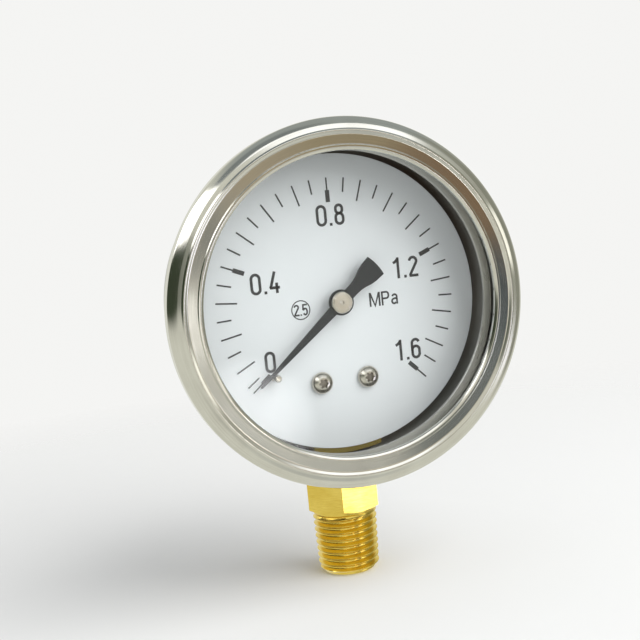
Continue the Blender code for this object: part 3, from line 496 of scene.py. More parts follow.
# Painted shade: a dim matt grey in place of steel, standing in for the shade on the case's inside
# wall behind the dial.
CASE_INSIDE_SHADE = painted("case_inside_painted_shade", (0.22, 0.225, 0.21), (0.12, 0.125, 0.115), (0.4, 0.6),
                     3000.0, 0.000003)
ENAMEL = painted("dial_white_enamel", (0.86, 0.89, 0.90), (0.83, 0.86, 0.87), (0.32, 0.42),
                 4000.0, 0.0000015)
BLACK_PAINT = painted("pointer_black_paint", (0.020, 0.024, 0.028), (0.014, 0.018, 0.022),
                      (0.34, 0.48), 5000.0, 0.000002)
BLACK_INK = painted("dial_black_ink", (0.028, 0.030, 0.032), (0.040, 0.043, 0.046), (0.45, 0.6),
                    9000.0, 0.000001)
RUBBER = painted("moulded_rubber", (0.018, 0.018, 0.018), (0.030, 0.029, 0.028), (0.55, 0.75),
                 7000.0, 0.000004)


# --- Bezel, case and window ---------------------------------------------------------------
def make_bezel():
    """Rolled ring: bead on the glass, flat band, ridge, groove and a round shoulder."""
    front = BEZEL_FRONT
    outer = BEZEL_RADIUS
    band = 29.3
    ridge = 31.8
    skirt = 31.4
    lip = front - 1.1
    # (radius, level, rounding), from the glass outwards
    corners = [(BEZEL_OPENING, lip, 0.1), (BEZEL_OPENING, front - 0.3, 0.3)]
    corners += [(28.75, front - 0.04, 0.3), (29.15, front - 0.06, 0.12), (band, front - 0.24, 0.1)]
    corners += [(31.1, front - 0.34, 0.5), (ridge, front, 0.35), (32.15, front - 0.3, 0.12)]
    corners += [(33.4, front - 0.62, 3.0), (outer, front - 1.75, 1.1)]
    # then round the rolled edge and back along the inside
    corners += [(outer, front - 4.8, 1.5), (outer - 0.35, front - 6.2, 1.6)]
    corners += [(outer - 1.2, BEZEL_BACK, 0.7), (skirt, BEZEL_BACK, 0.2)]
    corners += [(skirt, front - 6.9, 0.15), (33.3, front - 6.75, 0.2)]
    corners += [(33.75, front - 3.2, 0.8), (33.1, front - 1.6, 0.5), (ridge, lip, 0.2)]
    bezel = lathe("bezel_ring", rounded(corners, 8), FINEST)
    return settle(bezel, "bezel_steel", STEEL, "bezel")


def make_case():
    """Drawn cup with its flange, its hole for the socket and its holes in the back."""
    inner = CASE_RADIUS - CASE_WALL
    floor = CASE_BACK + CASE_WALL
    dish = 0.4
    corners = [(CASE_LIP, CASE_FRONT - dish, 0.2), (CASE_SEAT, CASE_FRONT, 0.3)]
    corners.append((CASE_FLANGE, CASE_FRONT, 0.15))
    corners += [(CASE_FLANGE, CASE_FRONT - CASE_WALL, 0.15)]
    corners += [(CASE_RADIUS, CASE_FRONT - CASE_WALL, 0.4), (CASE_RADIUS, CASE_BACK, 2.0)]
    corners += [(0.0, CASE_BACK, 0.0), (0.0, floor, 0.0), (inner, floor, 1.3)]
    corners += [(inner, CASE_FRONT - CASE_WALL, 0.3)]
    corners.append((CASE_LIP, CASE_FRONT - dish - CASE_WALL, 0.2))
    case = lathe("case_cup", rounded(corners, 8))
    hole = SEAL_RADIUS + 0.15
    combine(case, upright("hole", [(0.0, 21.0), (hole, 21.0), (hole, 30.0), (0.0, 30.0)]))
    plug_hole = 4.0
    screw_hole = 1.55
    rear = [(0.0, CASE_BACK + 2.0), (plug_hole, CASE_BACK + 2.0), (plug_hole, CASE_BACK - 1.0)]
    rear.append((0.0, CASE_BACK - 1.0))
    combine(case, lathe("hole", rear, 64, middle_of("relief_plug")))
    for node in ("case_screw_upper", "case_screw_lower"):
        narrow = [(min(radius, screw_hole), level) for radius, level in rear]
        combine(case, lathe("hole", narrow, COARSE, middle_of(node)))
    settle(case, "case_steel", CASE_STEEL, "case")
    # painted shade on the case's inside wall
    paint_shade_on(case, CASE_INSIDE_SHADE, lambda x, y, level: (
        math.hypot(x, y) < inner + 0.1 and floor - 0.1 < level < CASE_FRONT - dish - CASE_WALL))


def make_window():
    front = front_of("window")
    back = back_of("window")
    corners = [(0.0, front, 0.0), (WINDOW_RADIUS, front, 0.3), (WINDOW_RADIUS, back, 0.3)]
    corners.append((0.0, back, 0.0))
    return settle(lathe("window_pane", rounded(corners, 4)), "window_glass", GLASS, "window")


def make_gasket():
    low = back_of("window_gasket")
    high = front_of("window_gasket")
    inner = CASE_SEAT + 0.1
    outer = radius_of("window_gasket")
    corners = [(inner, high, 0.3), (outer, high, 0.3), (outer, low, 0.3), (inner, low, 0.3)]
    gasket = lathe("window_gasket_ring", rounded(corners, 4))
    return settle(gasket, "rubber", RUBBER, "window_gasket")


def make_relief_plug():
    """Mushroom head outside the case, neck and a snap lip inside."""
    seat = CASE_BACK - 0.3
    inside = CASE_BACK + CASE_WALL + 0.3
    tip = front_of("relief_plug")
    end = back_of("relief_plug")
    neck = 3.7
    corners = [(0.0, tip, 0.0), (4.1, tip, 0.5), (4.6, inside, 0.1), (neck, inside, 0.1)]
    corners += [(neck, seat, 0.1), (5.2, seat, 0.1), (5.15, end + 0.2, 0.3), (4.2, end, 0.5)]
    corners.append((0.0, end, 0.0))
    plug = lathe("relief_plug_rubber", rounded(corners, 5), MEDIUM, middle_of("relief_plug"))
    return settle(plug, "rubber", RUBBER, "relief_plug")


def make_socket_seal():
    """Grommet round the neck; its faces follow the curve of the case's wall."""
    bore = NECK_RADIUS + 0.15
    wall = CASE_RADIUS + 0.15
    inside = CASE_RADIUS - CASE_WALL
    # (distance from the shank's axis, radius about the dial's axis, rounding)
    section = [(bore, 32.3, 0.2), (9.2, 32.2, 0.5), (9.4, wall, 0.2)]
    section += [(SEAL_RADIUS, wall, 0.05), (SEAL_RADIUS, inside, 0.1), (bore, inside, 0.1)]
    rows = []
    for reach, case_radius in rounded(section, 5):
        row = []
        for x, y in circle(reach, MEDIUM):
            height = CENTRE - math.sqrt(case_radius ** 2 - x ** 2)
            row.append(Vector((x, y, height)) * MM)
        rows.append(row)
    return settle(loft("socket_grommet", rows), "rubber", RUBBER, "socket_seal")


# --- Screws and pins ----------------------------------------------------------------------
def star_outline(radius):
    """Six rounded lobes."""
    count = 72
    depth = 0.16
    points = []
    for index in range(count):
        degrees = 360.0 * index / count
        wave = math.cos(math.radians(6.0 * degrees))
        points.append(polar(radius * (1.0 - depth + depth * wave), degrees))
    return points


def prism(name, outline, bottom, top, centre):
    """A straight solid from an outline about a centre, along the dial's axis."""
    editable = bmesh.new()
    rings = []
    for level in (bottom, top):
        ring = [editable.verts.new(at(centre[0] + x, centre[1] + y, level)) for x, y in outline]
        editable.faces.new(ring)
        rings.append(ring)
    skin(editable, rings, closed=False)
    return finish_mesh(name, editable)


def screw_profile(seat, end, top, head, shank, outward):
    """Pan head and shank; outward is 1 for a head towards the reader and -1 for the back."""
    rise = abs(top - seat)
    corners = [(0.0, top, 0.0), (head * 0.5, top - outward * 0.05 * rise, 1.6)]
    corners += [(head * 0.88, top - outward * 0.4 * rise, 1.0), (head, seat + outward * 0.3, 0.4)]
    corners += [(head - 0.03, seat, 0.08), (shank, seat, 0.05), (shank, end, 0.2)]
    corners.append((0.0, end, 0.0))
    return rounded(corners, 5)


def make_dial_screws():
    """Nickel pan heads with six-lobe recesses."""
    depth = 0.55
    for side in ("left", "right"):
        node = "dial_screw_" + side
        centre = middle_of(node)
        top = front_of(node)
        seat = DIAL_FRONT + 0.15
        profile = screw_profile(seat, back_of(node), top, radius_of(node), 1.1, 1.0)
        screw = lathe(node + "_pan_head", profile, MEDIUM, centre)
        recess = prism("recess", star_outline(RECESS_RADIUS), top - depth, top + 1.0, centre)
        combine(screw, recess)
        settle(screw, "nickel", NICKEL, node)
        # painted shade inside the six-lobe recess
        paint_shade_on(screw, PAINTED_RECESS_SHADE, lambda x, y, level: (
            math.dist((x, y), centre) < RECESS_RADIUS and level < top - 0.2))


def make_case_screws():
    """Slotted screws that hold the case's back to the socket's block."""
    for label in ("upper", "lower"):
        node = "case_screw_" + label
        x, y = middle_of(node)
        end = back_of(node)
        seat = CASE_BACK - 0.1
        profile = screw_profile(seat, front_of(node), end, radius_of(node), 1.25, -1.0)
        screw = lathe(node + "_slotted", profile, MEDIUM, (x, y))
        half = 0.36
        depth = 0.72
        low = (x - 4.0, -end - depth, CENTRE + y - half)
        high = (x + 4.0, -end + 1.0, CENTRE + y + half)
        combine(screw, brick("slot", low, high))
        settle(screw, "nickel", NICKEL, node)
        # painted shade inside the slot
        paint_shade_on(screw, PAINTED_RECESS_SHADE, lambda right, up, level: (
            abs(up - y) < half + 0.01 and end + 0.05 < level < end + 0.8))


def make_stop_pin():
    radius = radius_of("zero_stop_pin")
    top = front_of("zero_stop_pin")
    corners = [(0.0, top, 0.0), (radius, top, 0.3), (radius, DIAL_BACK, 0.1)]
    corners.append((0.0, DIAL_BACK, 0.0))
    pin = lathe("zero_stop_post", rounded(corners, 5), COARSE, middle_of("zero_stop_pin"))
    return settle(pin, "nickel", NICKEL, "zero_stop_pin")


# --- Dial and its print -------------------------------------------------------------------
def make_dial():
    bore = 1.5
    screw_hole = 1.35
    corners = [(bore, DIAL_FRONT, 0.08), (DIAL_RADIUS, DIAL_FRONT, 0.12)]
    corners += [(DIAL_RADIUS, DIAL_BACK, 0.12), (bore, DIAL_BACK, 0.08)]
    dial = lathe("dial_face", rounded(corners, 3), FINEST)
    holes = [("dial_screw_left", screw_hole), ("dial_screw_right", screw_hole)]
    holes.append(("zero_stop_pin", radius_of("zero_stop_pin") + 0.08))
    for node, radius in holes:
        outline = circle(radius, COARSE)
        combine(dial, prism("hole", outline, DIAL_BACK - 1.0, DIAL_FRONT + 1.0, middle_of(node)))
    return settle(dial, "dial_paint", ENAMEL, "dial")


def ribbon(editable, points, width, closed=False):
    """A printed stroke of even width along a line of (right, up) points."""
    line = [Vector(point) for point in points]
    count = len(line)
    rails = []
    for index, here in enumerate(line):
        before = line[index - 1] if index or closed else None
        after = line[(index + 1) % count] if index + 1 < count or closed else None
        headings = []
        if before is not None:
            headings.append((here - before).normalized())
        if after is not None:
            headings.append((after - here).normalized())
        heading = sum(headings, Vector((0.0, 0.0))).normalized()
        stretch = 1.0 / max(heading.dot(headings[0]), 0.5)
        normal = Vector((-heading.y, heading.x)) * (width / 2.0 * stretch)
        rails.append((here + normal, here - normal))
    sections = []
    for left, right in rails:
        corners = []
        for point, level in ((left, DIAL_FRONT + INK), (right, DIAL_FRONT + INK),
                             (right, DIAL_FRONT), (left, DIAL_FRONT)):
            corners.append(editable.verts.new(at(point.x, point.y, level)))
        sections.append(corners)
    skin(editable, sections, closed)
    if not closed:
        editable.faces.new(sections[0])
        editable.faces.new(sections[-1])


def oval(cx, cy, rx, ry, start=0.0, end=360.0, count=24):
    """Points round an oval; a whole one leaves out its repeated end."""
    whole = abs(end - start) >= 360.0
    points = []
    for index in range(count if whole else count + 1):
        angle = math.radians(start + (end - start) * index / count)
        points.append((cx + rx * math.cos(angle), cy + ry * math.sin(angle)))
    return points


def stadium(left, right, low, high):
    """A closed line with round ends above and below."""
    count = 10
    radius = (right - left) / 2.0
    middle = (left + right) / 2.0
    points = oval(middle, high - radius, radius, radius, 0.0, 180.0, count)
    return points + oval(middle, low + radius, radius, radius, 180.0, 360.0 - 1.0, count)


# Each glyph stands on y = 0 and is 1 high; strokes are (points, closed). STEM is its line width.
STEM = 0.13
HALF_STEM = STEM / 2.0


def glyph_zero():
    return 0.52, [(stadium(HALF_STEM, 0.52 - HALF_STEM, HALF_STEM, 1.0 - HALF_STEM), True)]


def glyph_one():
    return 0.46, [([(0.30, 0.0), (0.30, 1.0)], False),
                  ([(0.06, 0.75), (0.17, 0.80), (0.30, 0.93)], False)]


def glyph_two():
    width = 0.49
    radius = width / 2.0 - HALF_STEM
    top = 1.0 - HALF_STEM - radius
    points = oval(width / 2.0, top, radius, radius, 172.0, -32.0, 12)
    points += [(HALF_STEM + 0.012, HALF_STEM + 0.06), (HALF_STEM + 0.01, HALF_STEM)]
    return width, [(points, False), ([(0.02, HALF_STEM), (width - 0.01, HALF_STEM)], False)]


def glyph_four():
    return 0.5, [([(0.30, 1.0), (0.06, 0.24)], False), ([(0.02, 0.255), (0.5, 0.255)], False),
                 ([(0.36, 0.0), (0.36, 0.48)], False)]


def glyph_five():
    width = 0.49
    points = [(width - 0.04, 1.0 - HALF_STEM), (0.08, 1.0 - HALF_STEM), (0.06, 0.53)]
    points += oval(width / 2.0, 0.33, 0.172, 0.275, 140.0, -150.0, 14)
    return width, [(points, False)]


def glyph_six():
    width = 0.49
    radius = width / 2.0 - HALF_STEM
    bowl = stadium(HALF_STEM, width - HALF_STEM, HALF_STEM, 0.61)
    points = oval(width / 2.0, 1.0 - HALF_STEM - radius, radius, radius, 18.0, 180.0, 10)
    points.append((HALF_STEM, 0.3))
    return width, [(bowl, True), (points, False)]


def glyph_eight():
    width = 0.49
    lower = stadium(HALF_STEM, width - HALF_STEM, HALF_STEM, 0.55)
    upper = stadium(HALF_STEM + 0.02, width - HALF_STEM - 0.02, 0.55, 1.0 - HALF_STEM)
    return width, [(lower, True), (upper, True)]


def glyph_dot():
    return 0.13, [([(0.065, 0.0), (0.065, 0.13)], False)]


def glyph_capital_m():
    return 0.82, [([(0.06, 0.0), (0.06, 1.0)], False), ([(0.76, 0.0), (0.76, 1.0)], False),
                  ([(0.08, 0.97), (0.41, 0.04), (0.74, 0.97)], False)]


def glyph_capital_p():
    bowl = [(0.06, 0.94), (0.36, 0.94)] + oval(0.38, 0.715, 0.17, 0.225, 80.0, -80.0, 10)
    bowl += [(0.36, 0.49), (0.06, 0.49)]
    return 0.62, [([(0.06, 0.0), (0.06, 1.0)], False), (bowl, False)]


def glyph_small_a():
    bowl = [(0.45, 0.42), (0.25, 0.40)] + oval(0.22, 0.215, 0.155, 0.17, 100.0, 330.0, 12)
    hood = [(0.45, 0.0), (0.45, 0.5)] + oval(0.28, 0.52, 0.17, 0.175, 10.0, 165.0, 10)
    return 0.56, [(bowl, False), (hood, False)]


GLYPHS = {
    "0": glyph_zero, "1": glyph_one, "2": glyph_two, "4": glyph_four, "5": glyph_five,
    "6": glyph_six, "8": glyph_eight, ".": glyph_dot,
    "M": glyph_capital_m, "P": glyph_capital_p, "a": glyph_small_a,
}


def write(editable, text, centre, height, spacing=0.12, stem=STEM):
    """Draws generic dial figures about a centre, with the given height in millimetres."""
    glyphs = [GLYPHS[letter]() for letter in text]
    total = sum(width for width, strokes in glyphs) + spacing * (len(glyphs) - 1)
    cursor = -total / 2.0
    for width, strokes in glyphs:
        for points, closed in strokes:
            placed = []
            for x, y in points:
                placed.append((centre[0] + (cursor + x) * height,
                               centre[1] + (y - 0.5) * height))
            ribbon(editable, placed, stem * height, closed)
        cursor += width + spacing


def spoke(editable, degrees, inner, outer, width):
    """A radial mark."""
    ribbon(editable, [polar(inner, degrees), polar(outer, degrees)], width)


def make_scale_marks():
    """Thirty-three marks; every eighth has a bar, and the first stands at the zero stop."""
    thin = 0.3
    bar = 0.85
    bar_start = 19.3
    bar_end = 21.6
    long_start = 19.87
    short_start = 21.2
    editable = bmesh.new()
    for step in range(SCALE_STEPS + 1):
        degrees = SCALE_START - SCALE_SWEEP * step / SCALE_STEPS if step else ZERO_MARK
        if step % 8 == 0:
            spoke(editable, degrees, bar_end - 0.05, SCALE_RADIUS, thin)
            spoke(editable, degrees, bar_start, bar_end, bar)
        elif step % 2 == 0:
            spoke(editable, degrees, long_start, SCALE_RADIUS, thin)
        else:
            spoke(editable, degrees, short_start, SCALE_RADIUS, thin)
    marks = finish_mesh("dial_scale_marks", editable)
    return settle(marks, "dial_paint", BLACK_INK)


def make_figures():
    """The scale's numbers, its unit and the circled accuracy class."""
    editable = bmesh.new()
    size = 0.172 * SCALE_RADIUS
    # middles as shares of the scale's radius: right, up
    places = {"0": (-0.606, -0.414), "0.4": (-0.585, 0.214), "0.8": (0.007, 0.70),
              "1.2": (0.6075, 0.218), "1.6": (0.567, -0.46)}
    for text, (x, y) in places.items():
        write(editable, text, (x * SCALE_RADIUS, y * SCALE_RADIUS), size)
    unit_size = 2.75
    write(editable, "MPa", (0.398 * SCALE_RADIUS, -0.016 * SCALE_RADIUS), unit_size, 0.1)
    centre = (-0.313 * SCALE_RADIUS, -0.03 * SCALE_RADIUS)
    class_size = 2.2
    class_circle = 1.8
    write(editable, "2.5", centre, class_size, 0.08, 0.14)
    ribbon(editable, oval(*centre, class_circle, class_circle, count=64), 0.2, True)
    return settle(finish_mesh("dial_figures", editable), "dial_paint", BLACK_INK)


# --- Pointer ------------------------------------------------------------------------------
def blade_half_width(distance):
    root = 1.05
    tip = 0.2
    return root + (tip - root) * distance / POINTER_LENGTH


def pointer_outline():
    """Blade to the right, disc at the middle and a flared tail to the left."""
    disc = 2.5
    neck = 1.15
    meet = math.degrees(math.asin(blade_half_width(disc) / disc))
    neck_meet = math.degrees(math.asin(neck / disc))
    fan = 13.2
    flare = [(-3.6, neck), (-4.7, neck + 0.12), (-5.7, neck + 0.38), (-6.7, neck + 0.76)]
    flare += [(-7.9, neck + 1.02), (-9.2, 2.26), (-9.62, 2.3)]
    shoulder = POINTER_LENGTH - 0.3
    upper = [(POINTER_LENGTH, 0.05), (shoulder, blade_half_width(shoulder))]
    upper += arc(disc, meet, 180.0 - neck_meet, 24) + flare
    upper += arc(POINTER_TAIL, 180.0 - fan, 180.0, 12)
    lower = [(x, -y) for x, y in reversed(upper[:-1])]
    return upper + lower


def make_pointer():
    pointer = plate("pointer_blade", pointer_outline(), POINTER_BACK, POINTER_FRONT, 0.12,
                    POINTER_REST)
    hole = prism("hole", circle(1.3, COARSE), POINTER_BACK - 1.0, POINTER_FRONT + 1.0, (0.0, 0.0))
    combine(pointer, hole)
    return settle(pointer, "pointer_paint", BLACK_PAINT, "pointer", body="pointer_group")


def make_hub():
    """Turned nickel cap with a rounded rim and a small centre hole."""
    top = front_of("pointer_hub")
    rim = radius_of("pointer_hub")
    low = back_of("pointer_hub")
    bore = ARBOR_BORE
    seat = POINTER_FRONT + 0.1
    boss = 1.2
    arbor_hole = 0.6
    web = top - 0.45
    corners = [(bore, top - 0.08, 0.05), (bore + 0.25, top - 0.02, 0.1), (1.55, top, 0.15)]
    corners += [(1.72, top - 0.08, 0.05), (1.95, top - 0.06, 0.15), (rim, top - 0.3, 0.2)]
    corners += [(rim, seat, 0.08), (boss, seat, 0.05), (boss, low, 0.1), (arbor_hole, low, 0.05)]
    corners += [(arbor_hole, web, 0.0), (bore, web, 0.0)]
    hub = lathe("pointer_cap", rounded(corners, 5), MEDIUM)
    settle(hub, "nickel", NICKEL, "pointer_hub", body="pointer_group")
    # painted shade inside the centre hole
    paint_shade_on(hub, PAINTED_RECESS_SHADE, lambda x, y, level: (
        math.hypot(x, y) < bore + 0.12 and level < top - 0.05))


# --- Socket -------------------------------------------------------------------------------
def make_shank():
    """Tapered pipe thread as one helical surface, with a chamfered end and the port's bore."""
    columns = 120
    section = [(0.0, 0.0), (0.045, -0.02), (0.12, -0.25), (0.36, -0.95), (0.43, -1.0)]
    section += [(0.57, -1.0), (0.64, -0.95), (0.88, -0.25), (0.955, -0.02)]
    turns = int(THREAD_LENGTH / THREAD_PITCH) + 4
    end_radius = THREAD_RADIUS - THREAD_LENGTH * THREAD_TAPER - 1.0
    top = THREAD_LENGTH + 0.2
    editable = bmesh.new()
    lines = []
    for turn in range(turns):
        for phase, depth in section:
            line = []
            for column in range(columns + 1):
                share = column / columns
                height = (turn + phase + share - 2.0) * THREAD_PITCH
                held = min(max(height, 0.0), top)
                crest = THREAD_RADIUS - (THREAD_LENGTH - held) * THREAD_TAPER
                runout = min(max((THREAD_LENGTH - 0.35 - held) / 1.2, 0.0), 1.0)
                radius = min(crest + depth * THREAD_DEPTH * runout, end_radius + held)
                x, y = polar(radius, 360.0 * share)
                line.append(editable.verts.new(Vector((x, y, held)) * MM))
            lines.append(line)
    for line, following in zip(lines, lines[1:]):
        for column in range(columns):
            editable.faces.new((line[column], line[column + 1],
                                following[column + 1], following[column]))
    bmesh.ops.remove_doubles(editable, verts=editable.verts, dist=0.000001)
    bmesh.ops.dissolve_degenerate(editable, edges=editable.edges, dist=0.0000005)
    open_edges = [edge for edge in editable.edges if len(edge.link_faces) == 1]
    for height in (0.0, top):
        rim = [edge for edge in open_edges if abs(edge.verts[0].co.z - height * MM) < 0.0000005]
        made = bmesh.ops.extrude_edge_only(editable, edges=rim)
        for item in made["geom"]:
            if isinstance(item, bmesh.types.BMVert):
                flat = Vector((item.co.x, item.co.y)).normalized() * PORT_RADIUS * MM
                item.co = (flat.x, flat.y, height * MM)
    bore = [edge for edge in editable.edges if len(edge.link_faces) == 1]
    bmesh.ops.bridge_loops(editable, edges=bore)
    shank = finish_mesh("socket_thread", editable, math.radians(25.0))
    return settle(shank, "brass", BRASS, "socket")


def make_hexagon():
    """Spanner hexagon with turned chamfers above and below."""
    corner = HEX_FLAT / math.cos(math.pi / 6.0)
    sides = [(0.0, THREAD_LENGTH), (corner, THREAD_LENGTH), (corner, HEX_TOP), (0.0, HEX_TOP)]
    hexagon = upright("socket_hexagon", sides, 6, -90.0 - HEX_TURN)
    for edge in hexagon.data.edges:
        edge.use_edge_sharp = True
    rise = (corner - HEX_FLAT + 0.25) * math.tan(math.radians(30.0))
    wide = corner + 0.25
    collar = [(0.0, THREAD_LENGTH), (HEX_FLAT - 0.1, THREAD_LENGTH), (wide, THREAD_LENGTH + rise)]
    collar += [(wide, HEX_TOP - rise), (HEX_FLAT - 0.1, HEX_TOP), (0.0, HEX_TOP)]
    combine(hexagon, upright("collar", collar, 144), "INTERSECT")
    return settle(hexagon, "brass", BRASS)


def make_block():
    """Neck through the case and the block that carries the tube and the movement."""
    width = BLOCK_HALF_WIDTH
    neck = [(0.0, HEX_TOP - 0.3), (NECK_RADIUS, HEX_TOP - 0.3), (NECK_RADIUS, BLOCK_STEP - 0.5)]
    neck.append((0.0, BLOCK_STEP - 0.5))
    settle(upright("socket_neck", neck), "brass", BRASS)
    foot = brick("socket_foot", (-width, -width, CENTRE - FOOT_RADIUS - 1.0),
                 (width, BLOCK_REAR, BLOCK_STEP))
    rear = -BLOCK_REAR
    limit = [(0.0, 14.0, 0.0), (FOOT_RADIUS, 14.0, 0.0), (FOOT_RADIUS, rear + 0.3, 1.5)]
    limit += [(FOOT_RADIUS - 1.5, rear, 0.1), (0.0, rear, 0.0)]
    combine(foot, lathe("limit", rounded(limit, 4)), "INTERSECT")
    settle(foot, "brass", BRASS)
    post = brick("socket_post", (-width, BLOCK_FACE, BLOCK_STEP - 0.5),
                 (width, BLOCK_REAR, BLOCK_TOP), 0.2)
    settle(post, "brass", BRASS)


# --- Bourdon tube -------------------------------------------------------------------------
def flat_oval(half_thickness, half_width):
    """Section of the flattened tube: straight sides and round edges."""
    straight = half_width - half_thickness
    points = []
    for across, along_axis in oval(0.0, 0.0, half_thickness, half_thickness, count=40):
        points.append((across, along_axis + math.copysign(straight, along_axis + 0.00001)))
    return points


def make_bourdon_tube():
    """Hollow tube, open at both ends."""
    outside = flat_oval(TUBE_HALF_THICKNESS, TUBE_HALF_WIDTH)
    inside = flat_oval(TUBE_HALF_THICKNESS - TUBE_WALL, TUBE_HALF_WIDTH - TUBE_WALL)
    editable = bmesh.new()
    shells = []
    steps = 144
    for section in (outside, inside):
        rings = []
        for step in range(steps + 1):
            degrees = TUBE_ROOT + (TUBE_TIP - TUBE_ROOT) * step / steps
            ring = []
            for across, level in section:
                x, y = polar(TUBE_RADIUS + across, degrees)
                ring.append(editable.verts.new(at(x, y, TUBE_LEVEL + level)))
            rings.append(ring)
        skin(editable, rings, closed=False)
        shells.append(rings)
    for end in (0, -1):
        skin(editable, [shells[0][end], shells[1][end]], closed=False)
    tube = finish_mesh("bourdon_tube_bent", editable)
    tube.data.materials.append(BRONZE)
    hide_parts("bourdon_tube")
    bend_direction = 23.0
    end = at(*polar(12.0, bend_direction), TUBE_LEVEL)
    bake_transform(tube)


# --- Inner pieces, which keep their CAD shape ---------------------------------------------
def finish_inner_pieces():
    """Gives every CAD node that still shows the procedural material of its slot."""
    finishes = {"nickel": NICKEL, "brass": BRASS, "bronze": BRONZE, "rubber": RUBBER,
                "case_steel": CASE_STEEL, "bezel_steel": STEEL}
    slots = {row["node"]: row["material_slot"] for row in frame["record"]["subparts"]}
    for name, node in NODES.items():
        if node.hide_render:
            continue
        node.data.materials.clear()
        node.data.materials.append(finishes[slots[name]])


# --- Studio -------------------------------------------------------------------------------
FLOOR_COLOUR = (0.86, 0.86, 0.845)
BACKGROUND = (0.91, 0.91, 0.895)        # what the camera sees
FILL = (0.56, 0.57, 0.58)               # what lights matt surfaces
MIRRORED = (0.80, 0.81, 0.74)           # what polished surfaces see where no card stands


def make_floor():
    """Pale round floor that fades out towards the horizon."""
    radii = (0.0, 0.05, 0.15, 0.4, 1.0, 2.5)
    rows = [[(x, y, 0.0) for x, y in circle(radius, MEDIUM)] for radius in radii]
    floor = loft("studio_floor", rows, closed=False)
    floor.location.z = -0.0001
    material, tree, shader = new_material("studio_floor")
    shader.inputs["Base Color"].default_value = (*FLOOR_COLOUR, 1.0)
    shader.inputs["Roughness"].default_value = 0.9
    shader.inputs["Specular IOR Level"].default_value = 0.1
    length = add(tree, "ShaderNodeVectorMath", operation="LENGTH")
    tree.links.new(object_place(tree), length.inputs[0])
    full, gone = 0.05, 0.26
    tree.links.new(remap(tree, length.outputs["Value"], full, gone, 1.0, 0.0),
                   shader.inputs["Alpha"])
    floor.data.materials.append(material)
    floor.visible_glossy = False


def along(tree, place, direction):
    """How far a direction of view points along a fixed direction, from -1 to 1."""
    dot = add(tree, "ShaderNodeVectorMath", operation="DOT_PRODUCT")
    tree.links.new(place, dot.inputs[0])
    dot.inputs[1].default_value = direction
    return dot.outputs["Value"]


def paint(tree, colour, factor, shade):
    mix = add(tree, "ShaderNodeMix", data_type="RGBA")
    tree.links.new(factor, mix.inputs["Factor"])
    tree.links.new(colour, mix.inputs["A"])
    mix.inputs["B"].default_value = (*shade, 1.0)
    return mix.outputs["Result"]


def add_card(tree, colour, place, direction, inner, outer, shade):
    """A soft round card, full within inner degrees of its direction and gone beyond outer."""
    near = math.cos(math.radians(inner))
    far = math.cos(math.radians(outer))
    facing = along(tree, place, Vector(direction).normalized())
    return paint(tree, colour, remap(tree, facing, far, near, 0.0, 1.0), shade)


def add_window(tree, colour, place, first, final, half_height, softness, shade):
    """A long window between two directions, with the tangent of half its height."""
    start = Vector(first).normalized()
    end = Vector(final).normalized()
    middle = (start + end).normalized()
    length = (end - start).normalized()
    reach = math.tan(start.angle(end) / 2.0)
    height = middle.cross(length)
    facing = calculate(tree, "MAXIMUM", along(tree, place, middle), 0.01)
    factor = 1.0
    for axis, limit in ((length, reach), (height, half_height)):
        offset = calculate(tree, "DIVIDE", along(tree, place, axis), facing)
        full = limit * (1.0 - softness)
        inside = remap(tree, calculate(tree, "ABSOLUTE", offset), limit, full, 0.0, 1.0)
        factor = calculate(tree, "MULTIPLY", inside, factor)
    return paint(tree, colour, factor, shade)


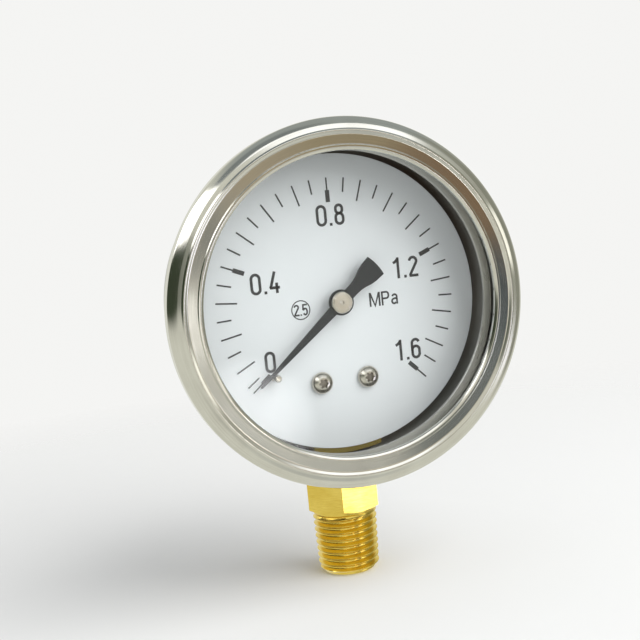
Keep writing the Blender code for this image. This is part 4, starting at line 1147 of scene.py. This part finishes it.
def make_surroundings():
    """Plain pale background, and a soft studio round it that the metal mirrors."""
    world = bpy.data.worlds.new("studio")
    bpy.context.scene.world = world
    world.use_nodes = True
    tree = world.node_tree
    tree.nodes.clear()
    place = add(tree, "ShaderNodeTexCoord").outputs["Generated"]
    base = add(tree, "ShaderNodeRGB")
    base.outputs[0].default_value = (*MIRRORED, 1.0)
    colour = base.outputs[0]
    # (direction, fully painted within degrees, faded out by degrees, colour)
    cards = [
        ((0.30, -0.10, 0.95), 34.0, 60.0, (0.40, 0.44, 0.44)),
        ((0.97, -0.10, 0.14), 28.0, 42.0, (0.33, 0.34, 0.29)),
        ((0.81, -0.58, 0.08), 4.0, 7.0, (1.60, 1.60, 1.50)),
        ((-0.02, -0.93, -0.37), 7.0, 13.0, (0.12, 0.12, 0.11)),
        ((-0.20, -0.50, 0.85), 16.0, 30.0, (0.26, 0.29, 0.30)),
        ((0.25, -0.89, -0.37), 14.0, 26.0, (0.52, 0.55, 0.54)),
        ((0.68, -0.69, -0.25), 7.0, 11.0, (3.30, 3.30, 3.90)),
        ((0.32, -0.94, -0.07), 12.0, 17.0, (0.78, 0.72, 0.61)),
        ((0.48, -0.86, 0.11), 8.0, 12.0, (0.26, 0.18, 0.115)),
        ((0.30, -0.93, 0.21), 5.0, 9.0, (0.38, 0.32, 0.21)),
        ((0.16, -0.97, 0.17), 3.0, 7.0, (0.44, 0.38, 0.28)),
        ((0.56, -0.83, -0.12), 5.0, 8.0, (0.08, 0.10, 0.11)),
        ((0.47, -0.84, -0.25), 5.0, 9.0, (0.18, 0.20, 0.20)),
        ((0.05, -0.99, 0.06), 3.0, 6.0, (0.24, 0.25, 0.24)),
        ((0.01, -1.00, -0.09), 2.5, 4.5, (1.50, 1.50, 1.50)),
        ((0.20, -0.96, -0.19), 2.0, 4.0, (7.0, 7.0, 7.0)),
    ]
    for direction, inner, outer, shade in cards:
        colour = add_card(tree, colour, place, direction, inner, outer, shade)
    # (from, to, tangent of half the height, share that is soft edge, colour)
    windows = [
        ((-0.21, -0.97, 0.08), (-0.57, 0.82, 0.08), 0.34, 0.35, (0.05, 0.065, 0.04)),
        ((-0.29, -0.89, 0.36), (-0.57, 0.74, 0.36), 0.22, 0.08, (2.6, 2.6, 2.6)),
        ((-0.15, -0.76, 0.60), (0.62, -0.62, 0.46), 0.16, 0.25, (1.6, 1.63, 1.68)),
    ]
    for first, final, half_height, softness, shade in windows:
        colour = add_window(tree, colour, place, first, final, half_height, softness, shade)
    mirrored = add(tree, "ShaderNodeBackground")
    tree.links.new(colour, mirrored.inputs["Color"])
    plain = add(tree, "ShaderNodeBackground", Color=(*BACKGROUND, 1.0))
    soft = add(tree, "ShaderNodeBackground", Color=(*FILL, 1.0))
    ray = add(tree, "ShaderNodeLightPath")
    unmirrored = mix_shaders(tree, ray.outputs["Is Camera Ray"], soft, plain).node
    studio = mix_shaders(tree, ray.outputs["Is Glossy Ray"], unmirrored, mirrored)
    output = add(tree, "ShaderNodeOutputWorld")
    tree.links.new(studio, output.inputs["Surface"])


def make_key_light():
    """A square soft box, right of the gauge and above it, that looks at the dial."""
    data = bpy.data.lights.new("key", "AREA")
    data.size = 0.9
    data.energy = 8.0
    distance = 0.8
    direction = Vector((0.60, -0.58, 0.60)).normalized()
    light = new_object("key", data)
    target = at(0.0, 0.0, DIAL_FRONT)
    light.location = target + direction * distance
    light.rotation_euler = (target - light.location).to_track_quat("-Z", "Y").to_euler()
    light.visible_camera = False
    light.visible_glossy = False


def make_camera():
    """Slightly left of the dial and above it, with the gauge leaning left in the view."""
    data = bpy.data.cameras.new("camera")
    data.sensor_width = 36.0
    data.lens = 57.56
    data.clip_start = 0.01
    camera = new_object("camera", data)
    camera.location = at(-59.72, 15.52, DIAL_FRONT + 188.42)
    view = Vector((0.28286, 0.95453, -0.09417))
    lean = -5.6
    level = view.to_track_quat("-Z", "Y").to_matrix()
    camera.rotation_euler = (level @ Matrix.Rotation(math.radians(lean), 3, "Z")).to_euler()
    bpy.context.scene.camera = camera


make_bezel()
make_case()
make_window()
make_gasket()
make_relief_plug()
make_socket_seal()
make_dial_screws()
make_case_screws()
make_stop_pin()
make_dial()
make_scale_marks()
make_figures()
make_pointer()
make_hub()
make_shank()
make_hexagon()
make_block()
make_bourdon_tube()
finish_inner_pieces()
make_floor()
make_surroundings()
make_key_light()
make_camera()
bpy.context.scene.view_settings.view_transform = "Standard"
